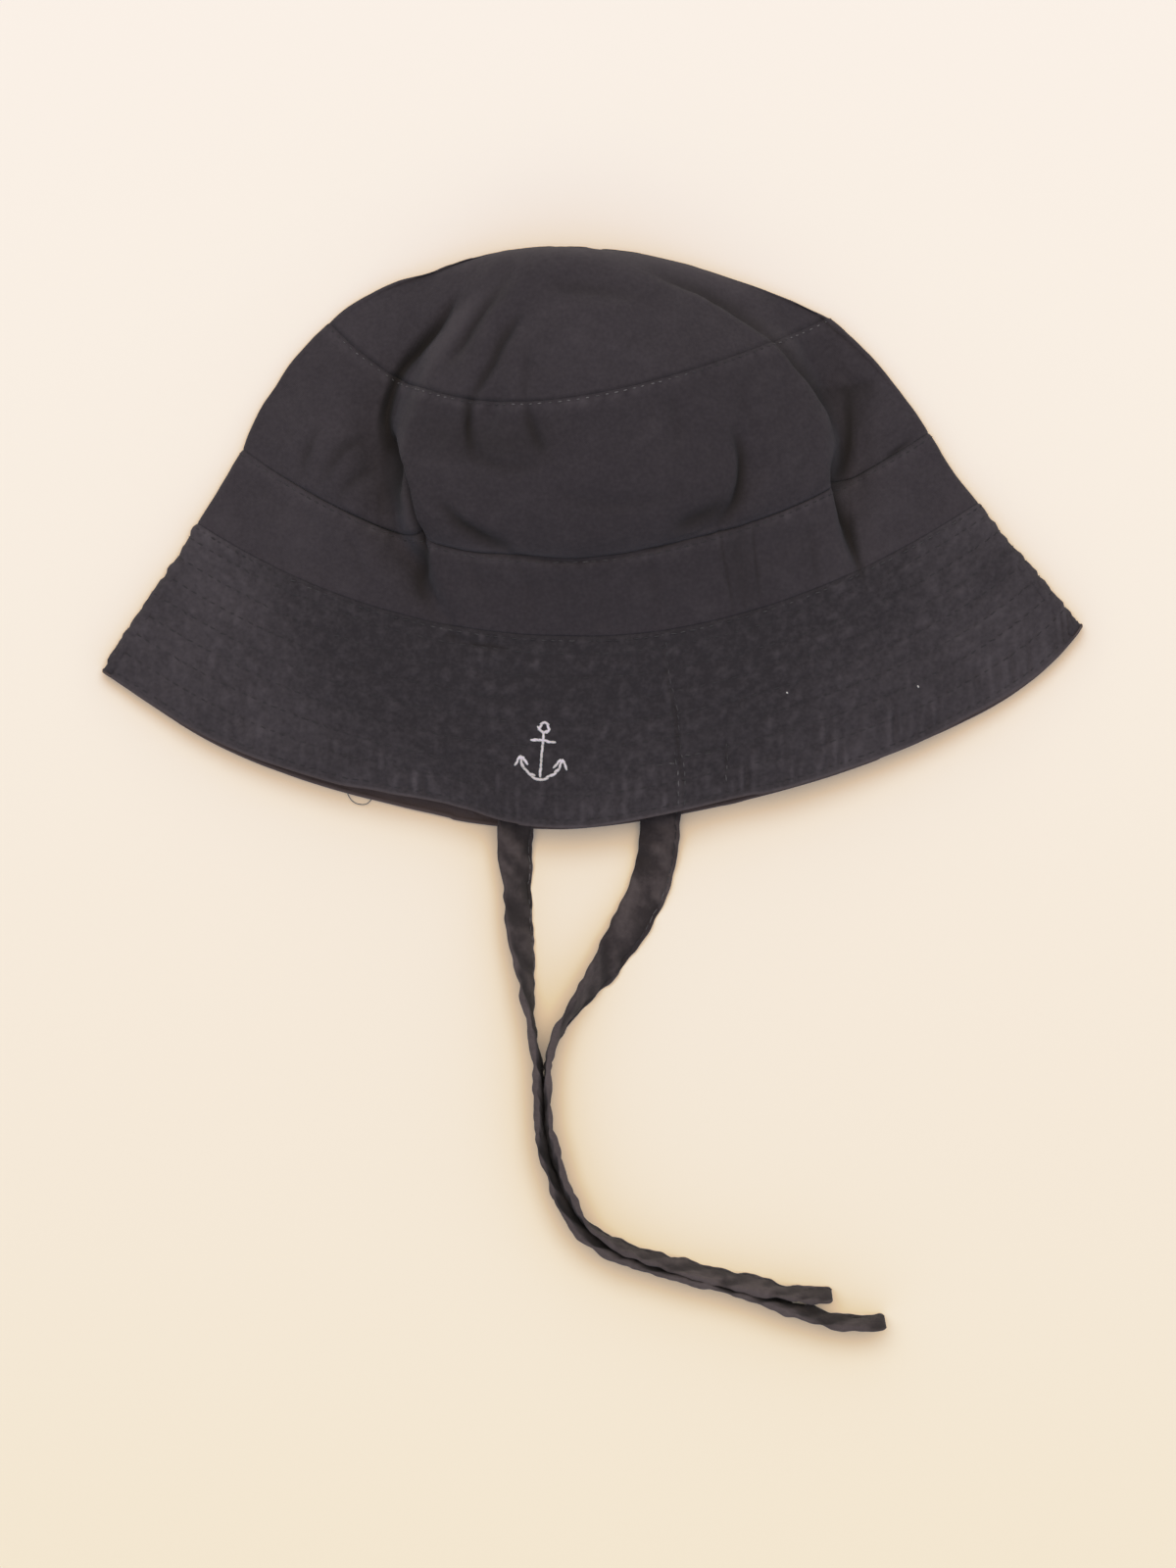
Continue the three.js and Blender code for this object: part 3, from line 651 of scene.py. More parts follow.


# %% [markdown]
# ## Creases
#
# A crease is a line in the photo, followed by chosen points. Each says how deep the cloth goes in, and
# how far the hollow reaches to the left and to the right of the line: a short reach is a steep wall,
# as where a puffed fold hangs over its neighbour, and a long one a soft slope. The ends fade out. The
# bulge is how much the cloth beside the hollow swells, and dark is how much painted shade darkens its bottom.

# %% The creases of the front layer
MM = 0.001
Crease = namedtuple("Crease", "depth left right bulge dark path")
CREASES = {
    "left fold, in the tip": Crease(3.2, 1.6, 1.2, 0.3, 0.85,
        [(464, 302), (450, 324), (433, 346), (417, 366), (405, 384), (400, 396)]),
    "left fold, dark middle": Crease(0.8, 1.2, 1.0, 0, 0.9,
        [(444, 330), (428, 350), (411, 372), (400, 394), (394, 416), (393, 440)]),
    "left fold, in the side": Crease(4.4, 1.3, 0.9, 0.3, 0.85,
        [(406, 386), (397, 406), (392, 428), (394, 452), (398, 478), (402, 498)]),
    "left fold, broad part": Crease(2.0, 2.2, 2.4, 0, 0.9,
        [(392, 438), (396, 462), (399, 486), (402, 510), (404, 530)]),
    "left edge of the pouch": Crease(3.0, 1.3, 0.7, 0.2, 0.8,
        [(404, 468), (411, 500), (417, 529), (426, 550), (433, 568)]),
    "left fold, in the band": Crease(2.4, 2.4, 2.2, 0.2, 0.85,
        [(422, 538), (427, 556), (429, 580), (431, 598), (437, 616)]),
    "shade left of the fold": Crease(0.5, 2.2, 1.5, 0, 0.3,
        [(392, 494), (389, 508), (390, 528)]),
    "soft crease beside the left fold": Crease(2.4, 2.4, 1.8, 0.7, 0.6,
        [(516, 284), (497, 306), (481, 330), (467, 352), (454, 372)]),
    "short crease in the tip": Crease(1.9, 1.9, 1.5, 0.5, 0.7,
        [(530, 320), (520, 334), (509, 352), (502, 370), (490, 390), (483, 404)]),
    "crease across the tip seam": Crease(0.6, 1.4, 1.2, 0, 0.25,
        [(494, 378), (486, 396), (480, 414)]),
    "hollow near the top": Crease(1.2, 3.0, 2.2, 0.5, 0.3,
        [(552, 296), (578, 293), (610, 296), (650, 302)]),
    "faint hollow in the tip": Crease(0.7, 2.0, 2.0, 0.3, 0.2,
        [(540, 350), (536, 376), (534, 410)]),
    "crease under the tip seam, left": Crease(1.8, 1.8, 1.5, 0.3, 0.95,
        [(478, 402), (477, 420), (478, 440), (482, 462)]),
    "crease under the tip seam, right": Crease(1.4, 2.0, 2.0, 0.2, 0.6,
        [(536, 412), (541, 432), (547, 448), (556, 464)]),
    "pouch fold above the band": Crease(2.0, 1.8, 2.2, 0.3, 0.85,
        [(448, 512), (464, 530), (482, 543), (500, 553), (522, 563)]),
    "pouch edge over the band, left": Crease(0.6, 0.8, 0.5, 0.3, 0.35,
        [(500, 560), (548, 571), (596, 573), (652, 565)]),
    "pouch edge over the band, right": Crease(0.4, 0.8, 0.5, 0.3, 0.15,
        [(640, 568), (680, 556), (706, 548), (732, 538)]),
    "crease in the pouch, right": Crease(2.2, 1.5, 1.4, 0.4, 0.95,
        [(750, 440), (758, 462), (759, 484), (754, 506), (744, 524), (733, 538)]),
    "hollow at the crease's foot": Crease(1.6, 3.0, 2.6, 0, 0.7,
        [(744, 510), (728, 523), (708, 533), (686, 543)]),
    "right arc, in the tip": Crease(1.7, 2.8, 1.0, 0.4, 0.6,
        [(664, 280), (696, 289), (726, 302), (754, 319), (780, 337), (804, 358)]),
    "right arc, in the side": Crease(1.8, 2.0, 0.9, 0.5, 0.75,
        [(790, 348), (809, 366), (826, 384), (841, 404), (851, 426), (856, 452)]),
    "right fold, core": Crease(2.6, 1.3, 2.2, 0, 1.0,
        [(866, 402), (867, 428), (867, 452), (865, 476), (861, 496), (858, 512)]),
    "right fold, foot": Crease(3.0, 1.2, 1.4, 0.3, 1.0,
        [(857, 462), (856, 486), (859, 508), (865, 530), (870, 552), (875, 572), (881, 590)]),
    "dent beside the right fold": Crease(0.9, 0.8, 4.8, 0.2, 0.4,
        [(832, 396), (852, 397), (874, 394), (900, 387)]),
    "middle of the dent": Crease(0.6, 2.6, 2.8, 0, 0.5,
        [(862, 390), (867, 412), (868, 440)]),
    "shade on the band seam, right": Crease(0.7, 1.2, 0.8, 0.2, 0.6,
        [(902, 470), (918, 458), (934, 446)]),
    "soft hollow, right of the middle": Crease(0.6, 2.6, 2.6, 0, 0.15,
        [(686, 398), (690, 430), (696, 470)]),
    "soft hollow, further right": Crease(0.6, 2.3, 2.3, 0, 0.15,
        [(750, 380), (758, 408), (768, 430)]),
    "shade under the tip seam": Crease(0.3, 7.0, 7.0, 0, 0.3,
        [(418, 430), (470, 450), (530, 452), (584, 440)]),
    "left wing, upper": Crease(1.1, 1.6, 2.4, 0.4, 0.4,
        [(376, 448), (352, 459), (330, 486)]),
    "left wing, lower": Crease(1.0, 1.8, 1.6, 0.3, 0.3,
        [(388, 474), (356, 494), (344, 510)]),
    "left wing, far": Crease(0.9, 1.5, 1.8, 0.3, 0.35,
        [(324, 436), (314, 458), (306, 482)]),
    "pouch, level crease": Crease(0.9, 2.2, 1.6, 0.4, 0.25,
        [(464, 458), (490, 468), (520, 478), (560, 470)]),
    "pouch, long soft crease": Crease(0.8, 2.8, 2.0, 0.4, 0.12,
        [(560, 500), (610, 516), (664, 512), (706, 492)]),
    "second fold under the brim seam": Crease(0.8, 0.6, 0.5, 0.3, 0.5,
        [(448, 644), (470, 653), (492, 658), (524, 663)]),
    "brim seam": Crease(0.5, 0.45, 0.45, 0.15, 0.3,
        [(676, 648), (680, 690), (688, 724), (692, 764), (696, 792), (696, 830)]),
    "doubled hem, right edge": Crease(0.35, 0.3, 0.7, 0.2, 0.3,
        [(741, 750), (742, 778), (741, 806)]),
    "band crease 1": Crease(0.4, 1.8, 1.1, 0.3, 0.08,
        [(478, 566), (485, 588), (488, 610)]),
    "band crease 2": Crease(0.6, 2.1, 1.2, 0.3, 0.12,
        [(527, 574), (537, 598), (539, 634)]),
    "band crease 3": Crease(0.4, 1.0, 1.9, 0.3, 0.06,
        [(579, 576), (577, 600), (571, 624)]),
    "band crease 4": Crease(0.5, 1.4, 1.8, 0.3, 0.1,
        [(621, 572), (616, 602), (620, 642)]),
    "band crease 5": Crease(0.6, 1.3, 1.6, 0.3, 0.12,
        [(660, 562), (668, 592), (670, 632)]),
    "allowance, left line": Crease(0.4, 0.5, 0.6, 0.2, 0.4,
        [(734, 536), (739, 570), (745, 600), (749, 632)]),
    "allowance, middle": Crease(0, 4.2, 3.8, 0, 0.3,
        [(751, 530), (755, 570), (759, 600), (762, 630)]),
    "allowance, right line": Crease(0.4, 0.6, 0.5, 0.2, 0.4,
        [(767, 530), (770, 560), (773, 590), (776, 620)]),
    "band crease 6": Crease(0.6, 1.4, 1.0, 0.3, 0.2,
        [(824, 530), (830, 566), (834, 604)]),
    "band crease, left": Crease(0.5, 1.2, 0.8, 0.3, 0.15,
        [(350, 540), (362, 566), (372, 592)]),
}


# %% Sink a crease into the skin
CORE_WIDTH = 0.85
END_SHARE, END_FADE = 0.02, 0.6
HOLLOW_POWER = 1.7
BULGE_SHARE, BULGE_AT, BULGE_REACH = 0.35, 2.4, 1.1
CREASE_MARGIN = 40
PATH_STEPS = 8


def from_line(pixels, path):
    """Signed distance of each pixel from a path, positive to its right, and the share along it."""
    line = smooth_line(path, PATH_STEPS * (len(path) - 1))
    travelled = lengths_along(line)
    nearest = np.full(pixels.shape[:-1], np.inf)
    side = np.zeros_like(nearest)
    share = np.zeros_like(nearest)
    for start, end, begun in zip(line[:-1], line[1:], travelled[:-1]):
        run = end - start
        size = np.hypot(*run)
        rel = pixels - start
        along = np.clip((rel @ run) / size**2, 0, 1)
        away = np.hypot(rel[..., 0] - along * run[0], rel[..., 1] - along * run[1])
        closer = away < nearest
        nearest = np.where(closer, away, nearest)
        side = np.where(closer, np.sign(rel[..., 1] * run[0] - rel[..., 0] * run[1]), side)
        share = np.where(closer, (begun + along * size) / travelled[-1], share)
    return nearest * np.where(side == 0, 1, side) * PIXEL, share


def crease_depth(pixels, crease):
    """How far in a crease takes the cloth, less the bulge of cloth beside it, and how much painted shade
    darkens its core.
    """
    signed, share = from_line(pixels, crease.path)
    reaches = np.abs(signed) / np.where(signed > 0, crease.right * MM, crease.left * MM)
    fade = np.sin(math.pi * np.clip(share, END_SHARE, 1 - END_SHARE)) ** END_FADE
    hollow = crease.depth * MM * np.exp(-(reaches**HOLLOW_POWER))
    bulge = BULGE_SHARE * crease.bulge * MM * bell(reaches - BULGE_AT, BULGE_REACH)
    # The second value is painted shade, darkest on the crease's line.
    return fade * (hollow - bulge), fade * crease.dark * bell(reaches, CORE_WIDTH)


def all_creases(skin):
    """The front layer's creases at every point of a panel's skin: how deep, and how much painted shade they
    get.
    """
    pixels = to_photo(skin)
    sunk, dark = np.zeros(skin.shape[:2]), np.zeros(skin.shape[:2])
    for crease in CREASES.values():
        points = np.array(crease.path)
        low, high = points.min(0) - CREASE_MARGIN, points.max(0) + CREASE_MARGIN
        near = np.all((pixels > low) & (pixels < high), axis=-1)
        if near.any():
            depth, core = crease_depth(pixels[near], crease)
            sunk[near] += depth
            dark[near] = 1 - (1 - dark[near]) * (1 - core)
    return sunk * front_weight, dark * front_weight


LAYERS = 0.0022
LEAST_ROOM = 0.0003


def within_room(sunk, room):
    """How deep the creases go, held back where the back layer is near."""
    spare = np.maximum(room - LAYERS, LEAST_ROOM)
    return spare * np.tanh(sunk / spare)


print(f"{len(CREASES)} creases, the deepest {max(crease.depth for crease in CREASES.values())} mm")

# %% [markdown]
# ## The panels
#
# A panel is a grid wrapped round the hat. Its rows gather at its two edges, where the cloth turns in
# at a seam. First the creases and the soft rumples move the skin, then it gets its wall with Solidify,
# and last the pinches of quilting and stitches press on both faces.

# %% Rows of a panel
EDGE_ROWS = 0.16
EDGE_HEIGHT = 0.0016


def row_parts(rows, depth):
    """Shares of a panel's height for its rows, closer together near the edges."""
    edge = EDGE_HEIGHT / depth
    shares = np.linspace(0, 1, rows + 1)
    return np.interp(shares, [0, EDGE_ROWS, 1 - EDGE_ROWS, 1], [0, edge, 1 - edge, 1])


# %% [markdown]
# The photo's outline isn't quite as smooth as the construction's loops. Three lines of stations put
# that right by a millimetre or two: each gives a pixel across the photo and a lift in millimetres, for
# the hem of the front layer, for the hem of the back layer and for the top of the crown.

# %% Lifts of the outline
HEM_LIFT = [(115, 0), (150, -0.5), (200, -1.3), (235, -1.3), (265, -1.0), (292, -0.4), (318, 0.1), (352, 0.7),
            (380, 1.9), (405, 2.3), (430, 2.9), (455, 3.0), (470, 2.7), (485, 2.3), (497, 1.6), (512, 0.9),
            (530, 0.4), (550, 0), (740, 0), (780, -0.9), (820, -1.2), (880, -1.1), (930, -1.0), (980, -0.4),
            (1010, -0.8), (1040, -1.4), (1070, -1.7), (1092, -1.0), (1106, 0)]
BACK_LIFT = [(115, 0), (150, -0.5), (200, -1.3), (235, -1.3), (265, -1.0), (292, -0.5), (330, 0), (380, 0.7),
             (420, 0.9), (440, 0.8), (460, 0.5), (500, 0), (860, 0), (900, 0.4), (940, 0.3), (980, -0.1),
             (1010, -0.8), (1040, -1.4), (1070, -1.7), (1092, -1.0), (1106, 0)]
CROWN_LIFT = [(300, 0), (340, -0.2), (360, -0.9), (400, -1.0), (440, -1.9), (460, -1.4), (490, -0.8),
              (530, -0.7), (570, -0.3), (610, -0.5), (660, -0.7), (710, -0.7), (760, -1.2), (800, -1.1),
              (840, -0.3), (880, 0)]
HEM_LIFT_REACH = 0.011
CROWN_LIFT_LEVELS = 0.4
LIFT_STEPS = 10


def lift_outline(skin, levels):
    """Moves the hem and the crown's top along Y to where the photo has them."""
    across = skin[..., 0] / PIXEL + ORIGIN_PIXEL[0]
    near_hem = bell(levels * BRIM_DEPTH, HEM_LIFT_REACH)[:, None]
    in_tip = step_up(levels, TIP_LEVEL, TIP_LEVEL + CROWN_LIFT_LEVELS)[:, None]
    for stations, share in (
        (HEM_LIFT, near_hem * is_front),
        (BACK_LIFT, near_hem * ~is_front),
        (CROWN_LIFT, in_tip),
    ):
        lifted = smooth_line(stations, LIFT_STEPS * len(stations))
        skin[..., 1] += MM * np.interp(across, lifted[:, 0], lifted[:, 1]) * share


# %% The bare skin of a panel
POLE_KINK = 0.0535
POLE_SOFT = 0.028
POLE_FROM = 0.3
BACK_RIM, RIM_REACH = 0.0006, 0.3
RIM_LEVEL, RIM_PLACE, RIM_WAY = 3.3, -0.75, (-0.6, 0.8)


def base_skin(index, parts):
    """A panel's bare skin and which way it faces."""
    levels = index + parts
    rows = [skin_loop(level) for level in levels]
    skin = np.array([points for points, _ in rows])
    where = np.array([places for _, places in rows])
    face = base_facing(skin, levels)
    near_top = step_up(levels, TIP_LEVEL + POLE_FROM, TIP_LEVEL + 1)[:, None]
    aside = np.abs(skin[..., 0] - POLE[0])
    skin[..., 1] -= near_top * POLE_KINK * (np.hypot(aside, POLE_SOFT) - aside)
    lift_outline(skin, levels)
    under = np.where(is_left_back, 1.0, np.where(is_left_turn, step_up(-front_share, 0, TURN_SHARE), 0))
    rim = BACK_RIM * bell(levels - RIM_LEVEL, RIM_REACH)[:, None] * bell(where - RIM_PLACE, RIM_REACH) * under
    skin[..., :2] += rim[..., None] * RIM_WAY
    return skin, face, room_between(skin, where)


def cloth_lengths(skin):
    """How far round the hat each point lies from the middle of the front, in metres."""
    steps = np.linalg.norm(np.diff(skin, axis=1), axis=2)
    travelled = np.concatenate([np.zeros((len(skin), 1)), np.cumsum(steps, axis=1)], axis=1)
    return travelled - travelled[:, COLUMNS // 2][:, None]


# %% Seams and soft rumples
SEAM_WIDTH = 0.00028
SEAM_DIP = 0.0001
ALLOWANCE_WIDTH = 0.0055
ALLOWANCE_RISE = 0.00017
ALLOWANCE_START = 0.0008
BROAD_RISE, BROAD_SIZE = 0.00055, (0.023, 0.017)
MIDDLE_RISE, MIDDLE_SIZE = 0.0003, (0.011, 0.012)


def seam_dip(distance):
    """How far cloth turns in towards a seam that lies this far away."""
    return SEAM_DIP * bell(distance, SEAM_WIDTH)


def allowance(distance):
    """How far the folded cloth beside a seam lifts the face over it."""
    over = 1 - step_up(distance, 0.8 * ALLOWANCE_WIDTH, 1.2 * ALLOWANCE_WIDTH)
    return ALLOWANCE_RISE * step_up(distance, 0, ALLOWANCE_START) * over


def soft_rumples(skin):
    """Broad soft rises, which run on from one panel to the next."""
    x, y = skin[..., 0], skin[..., 1]
    broad = BROAD_RISE * rumple(x / BROAD_SIZE[0] + 9, y / BROAD_SIZE[1] + 9, 41)
    return broad + MIDDLE_RISE * rumple(x / MIDDLE_SIZE[0], y / MIDDLE_SIZE[1] + 20, 42)


# %% [markdown]
# Washing fades the cloth where it rubs. The wings at the two sides are painted lighter than the middle, and
# so is the front where it turns sideways at the side folds: painted light, along with fading and rubbing
# there. The seams are painted dark, with unfaded dye and painted shade in their grooves, and the bottoms of
# the creases get painted shade.

# %% Where the cloth is painted lighter and darker
FADED_ALL_OVER = 0.15
# Painted light: the wings and their edges are lighter.
WING_START, WING_END, WING_LIGHT = 0.045, 0.085, 0.28
EDGE_START, EDGE_END, EDGE_LIGHT = 0.097, 0.118, 0.15
ROLL_START, ROLL_END, ROLL_LIGHT = 0.2, 0.7, 0.7
# Seam lines: unfaded dye, and painted shade in the groove.
SEAM_DYE_AND_SHADE = 0.17
SEAM_SHADE = 0.0003
SEAM_DYE_PITCH = 0.0021


def wing_light_and_fade(skin):
    """How much a point of the cloth is lightened by how far to the side it lies: an even fade, and painted
    light towards the wings and their edges.
    """
    from_middle = np.abs(skin[..., 0])
    faded = FADED_ALL_OVER + WING_LIGHT * step_up(from_middle, WING_START, WING_END)
    return faded + EDGE_LIGHT * step_up(from_middle, EDGE_START, EDGE_END)


def roll_light_and_wear(face):
    """How much the front layer is lightened where it turns to face sideways at the side folds: painted light,
    with the rubbing of the roll.
    """
    return ROLL_LIGHT * step_up(1 - face[..., 2], ROLL_START, ROLL_END) * is_front


def seam_dye_and_shade(distance, around, seed):
    """How dark a seam's line is painted: its unfaded dye, and painted shade in its groove. The stitches
    interrupt it.
    """
    broken = np.clip(0.55 + 0.9 * rumple(around / SEAM_DYE_PITCH, distance / 0.01, seed), 0, 1.3)
    return SEAM_DYE_AND_SHADE * broken * bell(distance, SEAM_SHADE)


# %% Room for the wall
WALL_IN_ROOM = 0.42
LEAST_WALL = 0.05
WALL_LEVELS = 20


def room_between(skin, where):
    """The gap between the front and the back layer at each point, where the two face each other."""
    room = np.empty(skin.shape[:2])
    is_back = ~is_front
    order = np.argsort(where[0][is_back])
    for index, (points, places) in enumerate(zip(skin, where)):
        low = np.interp(places, places[is_back][order], points[is_back][order, 2])
        high = np.interp(places, places[is_front], points[is_front, 2])
        room[index] = high - low
    return room


def set_wall_shares(piece, shares):
    """A vertex group that thins the wall where the two layers leave little room."""
    group = piece.vertex_groups.new(name="wall")
    steps = np.rint(shares * WALL_LEVELS).astype(int)
    for step in np.unique(steps):
        group.add(np.flatnonzero(steps == step).tolist(), step / WALL_LEVELS, "REPLACE")


# %% Press the pinches in
def press_in(piece):
    """Moves both faces in by each point's pinch, though never below the table."""
    count = len(piece.data.vertices)
    points, normals, pressed = np.empty(count * 3), np.empty(count * 3), np.empty(count)
    piece.data.vertices.foreach_get("co", points)
    piece.data.vertices.foreach_get("normal", normals)
    piece.data.attributes["pinch"].data.foreach_get("value", pressed)
    points = points.reshape(-1, 3) - normals.reshape(-1, 3) * pressed[:, None]
    points[:, 2] = np.maximum(points[:, 2], 0)
    set_points(piece, points)
    piece.data.attributes.remove(piece.data.attributes["pinch"])


# %% Finish a panel
def panel_cloth(name, skin, around, along, pinch, worn, deep, wall, room, warm_bounce=None):
    piece, row, column = start_grid(name, COLUMNS, len(skin) - 1)
    settle(piece)
    skin[:, -1] = skin[:, 0]
    set_points(piece, skin[row, column])
    set_cloth_map(piece, around[row, column], along[row, column])
    set_attribute(piece, "pinch", pinch[row, column])
    # Fading and rubbing, with painted light on the wings and the rolled sides.
    set_attribute(piece, "worn", np.clip(worn, 0, 1)[row, column])
    # Painted shade of creases and seam grooves, with the seams' unfaded dye.
    set_attribute(piece, "deep", np.clip(deep, 0, 1)[row, column])
    # Painted warm light bounced into the shade under the hem.
    if warm_bounce is not None:
        set_attribute(piece, "warm_bounce", np.clip(warm_bounce, 0, 1)[row, column])
    set_wall_shares(piece, np.clip(WALL_IN_ROOM * room / wall, LEAST_WALL, 1)[row, column])
    in_edit_mode(piece, lambda: bpy.ops.mesh.remove_doubles(threshold=SAME_PLACE))
    solid = piece.modifiers.new("wall", "SOLIDIFY")
    solid.thickness = wall
    solid.offset = -1
    solid.vertex_group = "wall"
    bpy.ops.object.modifier_apply(modifier=solid.name)
    press_in(piece)
    piece.vertex_groups.clear()
    bpy.ops.object.shade_smooth()
    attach(piece, "root")
    triangles = sum(len(face.vertices) - 2 for face in piece.data.polygons)
    print(f"{name}: {triangles} triangles")
    return piece


# %% [markdown]
# ### The brim
#
# The brim is two layers quilted together in rows that run round the hat, 6.6 mm apart. Washing has
# shrunk the thread, so the cloth puckers between the rows, most of all near the hem. Several noises
# make the puckers. A plain factor before one of them says how much it counts beside the others.

# %% Rows of the brim
QUILT_PITCH = 0.0066
HEM_STITCH = 0.0026
QUILT_COUNT = 8
QUILT_ROWS = [HEM_STITCH + QUILT_PITCH * k for k in range(QUILT_COUNT)]
BRIM_ROWS = 56

brim_parts = row_parts(BRIM_ROWS, BRIM_DEPTH)
brim_skin, brim_face, brim_room = base_skin(0, brim_parts)
brim_around = cloth_lengths(brim_skin)
brim_up = np.broadcast_to((brim_parts * BRIM_DEPTH)[:, None], brim_around.shape)
print(f"{QUILT_COUNT} rows of quilting, the hem is {np.ptp(brim_around[0]) * 1000:.0f} mm round")

# %% Quilting and puckers
QUILT_DEPTH = 0.00036
QUILT_REACH = 0.0009
PUCKER = 0.00055
CELL_SIZE, DASH_SIZE = (0.0026, 0.0033), (0.0040, 0.0021)
HEM_PUCKER = 0.00062
HEM_START, HEM_REACH = 0.005, 0.009
HEM_PITCH, HEM_DRIFT = 0.0033, 0.012
STREAK_SIZE = (0.0027, 0.0062)
BRIM_CALM = 0.0016
WORN_BY_BUMP = 1000


def quilting(around, up):
    """How far the stitching and the puckers pinch the brim, and how worn its raised cloth is."""
    channels = sum(bell(up - row, QUILT_REACH) for row in QUILT_ROWS)
    cells = rumple(around / CELL_SIZE[0], up / CELL_SIZE[1] + 4, 51)
    dashes = rumple(around / DASH_SIZE[0], up / DASH_SIZE[1] + 8, 52)
    hem = bell(np.maximum(up - HEM_START, 0), HEM_REACH) * step_up(up, 0.001, 0.0026)
    drift = 0.45 * rumple(around / HEM_DRIFT, up / 0.05 + 9, 53)
    strength = 0.4 + 0.8 * rumple(around / 0.007, up / 0.01, 54)
    even = np.cos(2 * math.pi * (around / HEM_PITCH + drift)) * strength
    streaks = 0.7 * even + 0.9 * rumple(around / STREAK_SIZE[0], up / STREAK_SIZE[1] + 3, 56)
    at_seam = step_up(BRIM_DEPTH - up, 0, BRIM_CALM)
    dimples = (0.75 * cells + 0.6 * dashes) * (1 - 0.5 * channels) * step_up(up, 0.001, 0.004) * at_seam
    raised = PUCKER * dimples * (1 - 0.6 * hem) + HEM_PUCKER * hem * streaks
    return QUILT_DEPTH * channels - raised, WORN_BY_BUMP * np.maximum(raised, 0)


# %% Press the brim's stitching in
HEM_ROUNDING = 0.9
HEM_GROOVE, HEM_GROOVE_UP, HEM_GROOVE_REACH = 0.00025, 0.0017, 0.0005

brim_pinch, brim_wear_and_light = quilting(brim_around, brim_up)
brim_pinch = brim_pinch * back_fade
brim_pinch += HEM_ROUNDING * rounded_edge(brim_up, BRIM_WALL / 2)
brim_pinch += HEM_GROOVE * bell(brim_up - HEM_GROOVE_UP, HEM_GROOVE_REACH) * back_fade
print(f"the quilting presses in by up to {brim_pinch.max() * 1000:.2f} mm")

# %% Creases and rumples of the brim
brim_rise = allowance(BRIM_DEPTH - brim_up) - seam_dip(BRIM_DEPTH - brim_up)
brim_sunk, brim_shade_and_dye = all_creases(brim_skin)
brim_sunk = within_room(brim_sunk, brim_room)
brim_rise += (soft_rumples(brim_skin) - brim_sunk) * back_fade
brim_skin += brim_face * brim_rise[..., None]
brim_skin[..., 2] = np.maximum(brim_skin[..., 2], 0)
print(f"the brim rises and sinks by {brim_rise.min() * 1000:.1f} to {brim_rise.max() * 1000:.1f} mm")

# %% [markdown]
# The brim's very edge is rubbed pale, its front is a little worn just above the hem, and its middle is
# painted darker further up, as painted shade. Where the back layer's inside shows under the hem, it is
# painted warm brown, as light bounced into the shade there; so is the front's rolled edge.

# %% Wear and painted light of the brim
HEM_EDGE_UP, HEM_EDGE_REACH = 0.0004, 0.0006
HEM_WEAR, HEM_WEAR_REACH = 0.16, 0.012
MIDDLE_START, MIDDLE_END = 0.08, 0.105
MIDDLE_SHADE = 0.6
TOP_WEAR = 0.25
WARM_BOUNCE_BACK, WARM_BOUNCE_FRONT = 0.007, 0.0006
BRIM_SEAM_DYE_AND_SHADE = 0.6

brim_middle = 1 - step_up(np.abs(brim_skin[..., 0]), MIDDLE_START, MIDDLE_END)
edge_rub = 0.8 + 0.5 * rumple(brim_around / 0.0016, brim_up / 0.01, 55)
brim_wear_and_light += 1.1 * bell(brim_up - HEM_EDGE_UP, HEM_EDGE_REACH) * edge_rub
# Painted light on the wings, held back higher up in the middle, which is painted shade.
brim_wear_and_light += wing_light_and_fade(brim_skin) * (1 - MIDDLE_SHADE * step_up(brim_up, 0.014, 0.045) * brim_middle)
brim_wear_and_light += TOP_WEAR * step_up(brim_up, 0.03, 0.05) * (1 - brim_middle)
brim_wear_and_light += roll_light_and_wear(brim_face) + HEM_WEAR * bell(brim_up, HEM_WEAR_REACH) * is_front
# Painted warm light bounced into the shade under the hem, and on the front's rolled edge.
brim_warm_bounce = np.where(is_left_back | is_right_back, bell(brim_up, WARM_BOUNCE_BACK), 0.7 * bell(brim_up, WARM_BOUNCE_FRONT))
# Painted shade in the creases and at the seam, with the seam's unfaded dye.
brim_shade_and_dye = np.maximum(brim_shade_and_dye, BRIM_SEAM_DYE_AND_SHADE * seam_dye_and_shade(BRIM_DEPTH - brim_up, brim_around, 57))
brim = panel_cloth("brim_cloth", brim_skin, brim_around, brim_up, brim_pinch, brim_wear_and_light, brim_shade_and_dye,
                   BRIM_WALL, brim_room - brim_sunk, brim_warm_bounce)
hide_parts("brim")


# %% [markdown]
# ### The band, the side and the tip
#
# These are plain cloth. At each seam the raw edges are turned in, which leaves a narrow groove, and a
# line of stitches holds the turned cloth flat beside it. The seams draw in fine puckers.

# %% Rumples of plain cloth
SMALL_RISE, SMALL_SIZE = 0.00028, (0.0085, 0.0062)
FINE_RISE, FINE_SIZE = 0.00014, (0.0038, 0.0030)
SEAM_PUCKER, PUCKER_SIZE = 0.00022, (0.0040, 0.014)
PUCKER_REACH = 0.005
PLAIN_CALM = 0.0015


def plain_cloth(around, up, depth, seed):
    """Small rises of washed cloth, and the puckers that fade away from both seams."""
    small = SMALL_RISE * rumple(around / SMALL_SIZE[0], up / SMALL_SIZE[1] + 5, seed + 1)
    fine = FINE_RISE * rumple(around / FINE_SIZE[0], up / FINE_SIZE[1] + 2, seed + 3)
    seam = bell(up, PUCKER_REACH) + bell(depth - up, PUCKER_REACH)
    puckers = SEAM_PUCKER * seam * rumple(around / PUCKER_SIZE[0], up / PUCKER_SIZE[1] + 7, seed + 2)
    return (small + fine + puckers) * step_up(np.minimum(up, depth - up), 0, PLAIN_CALM)


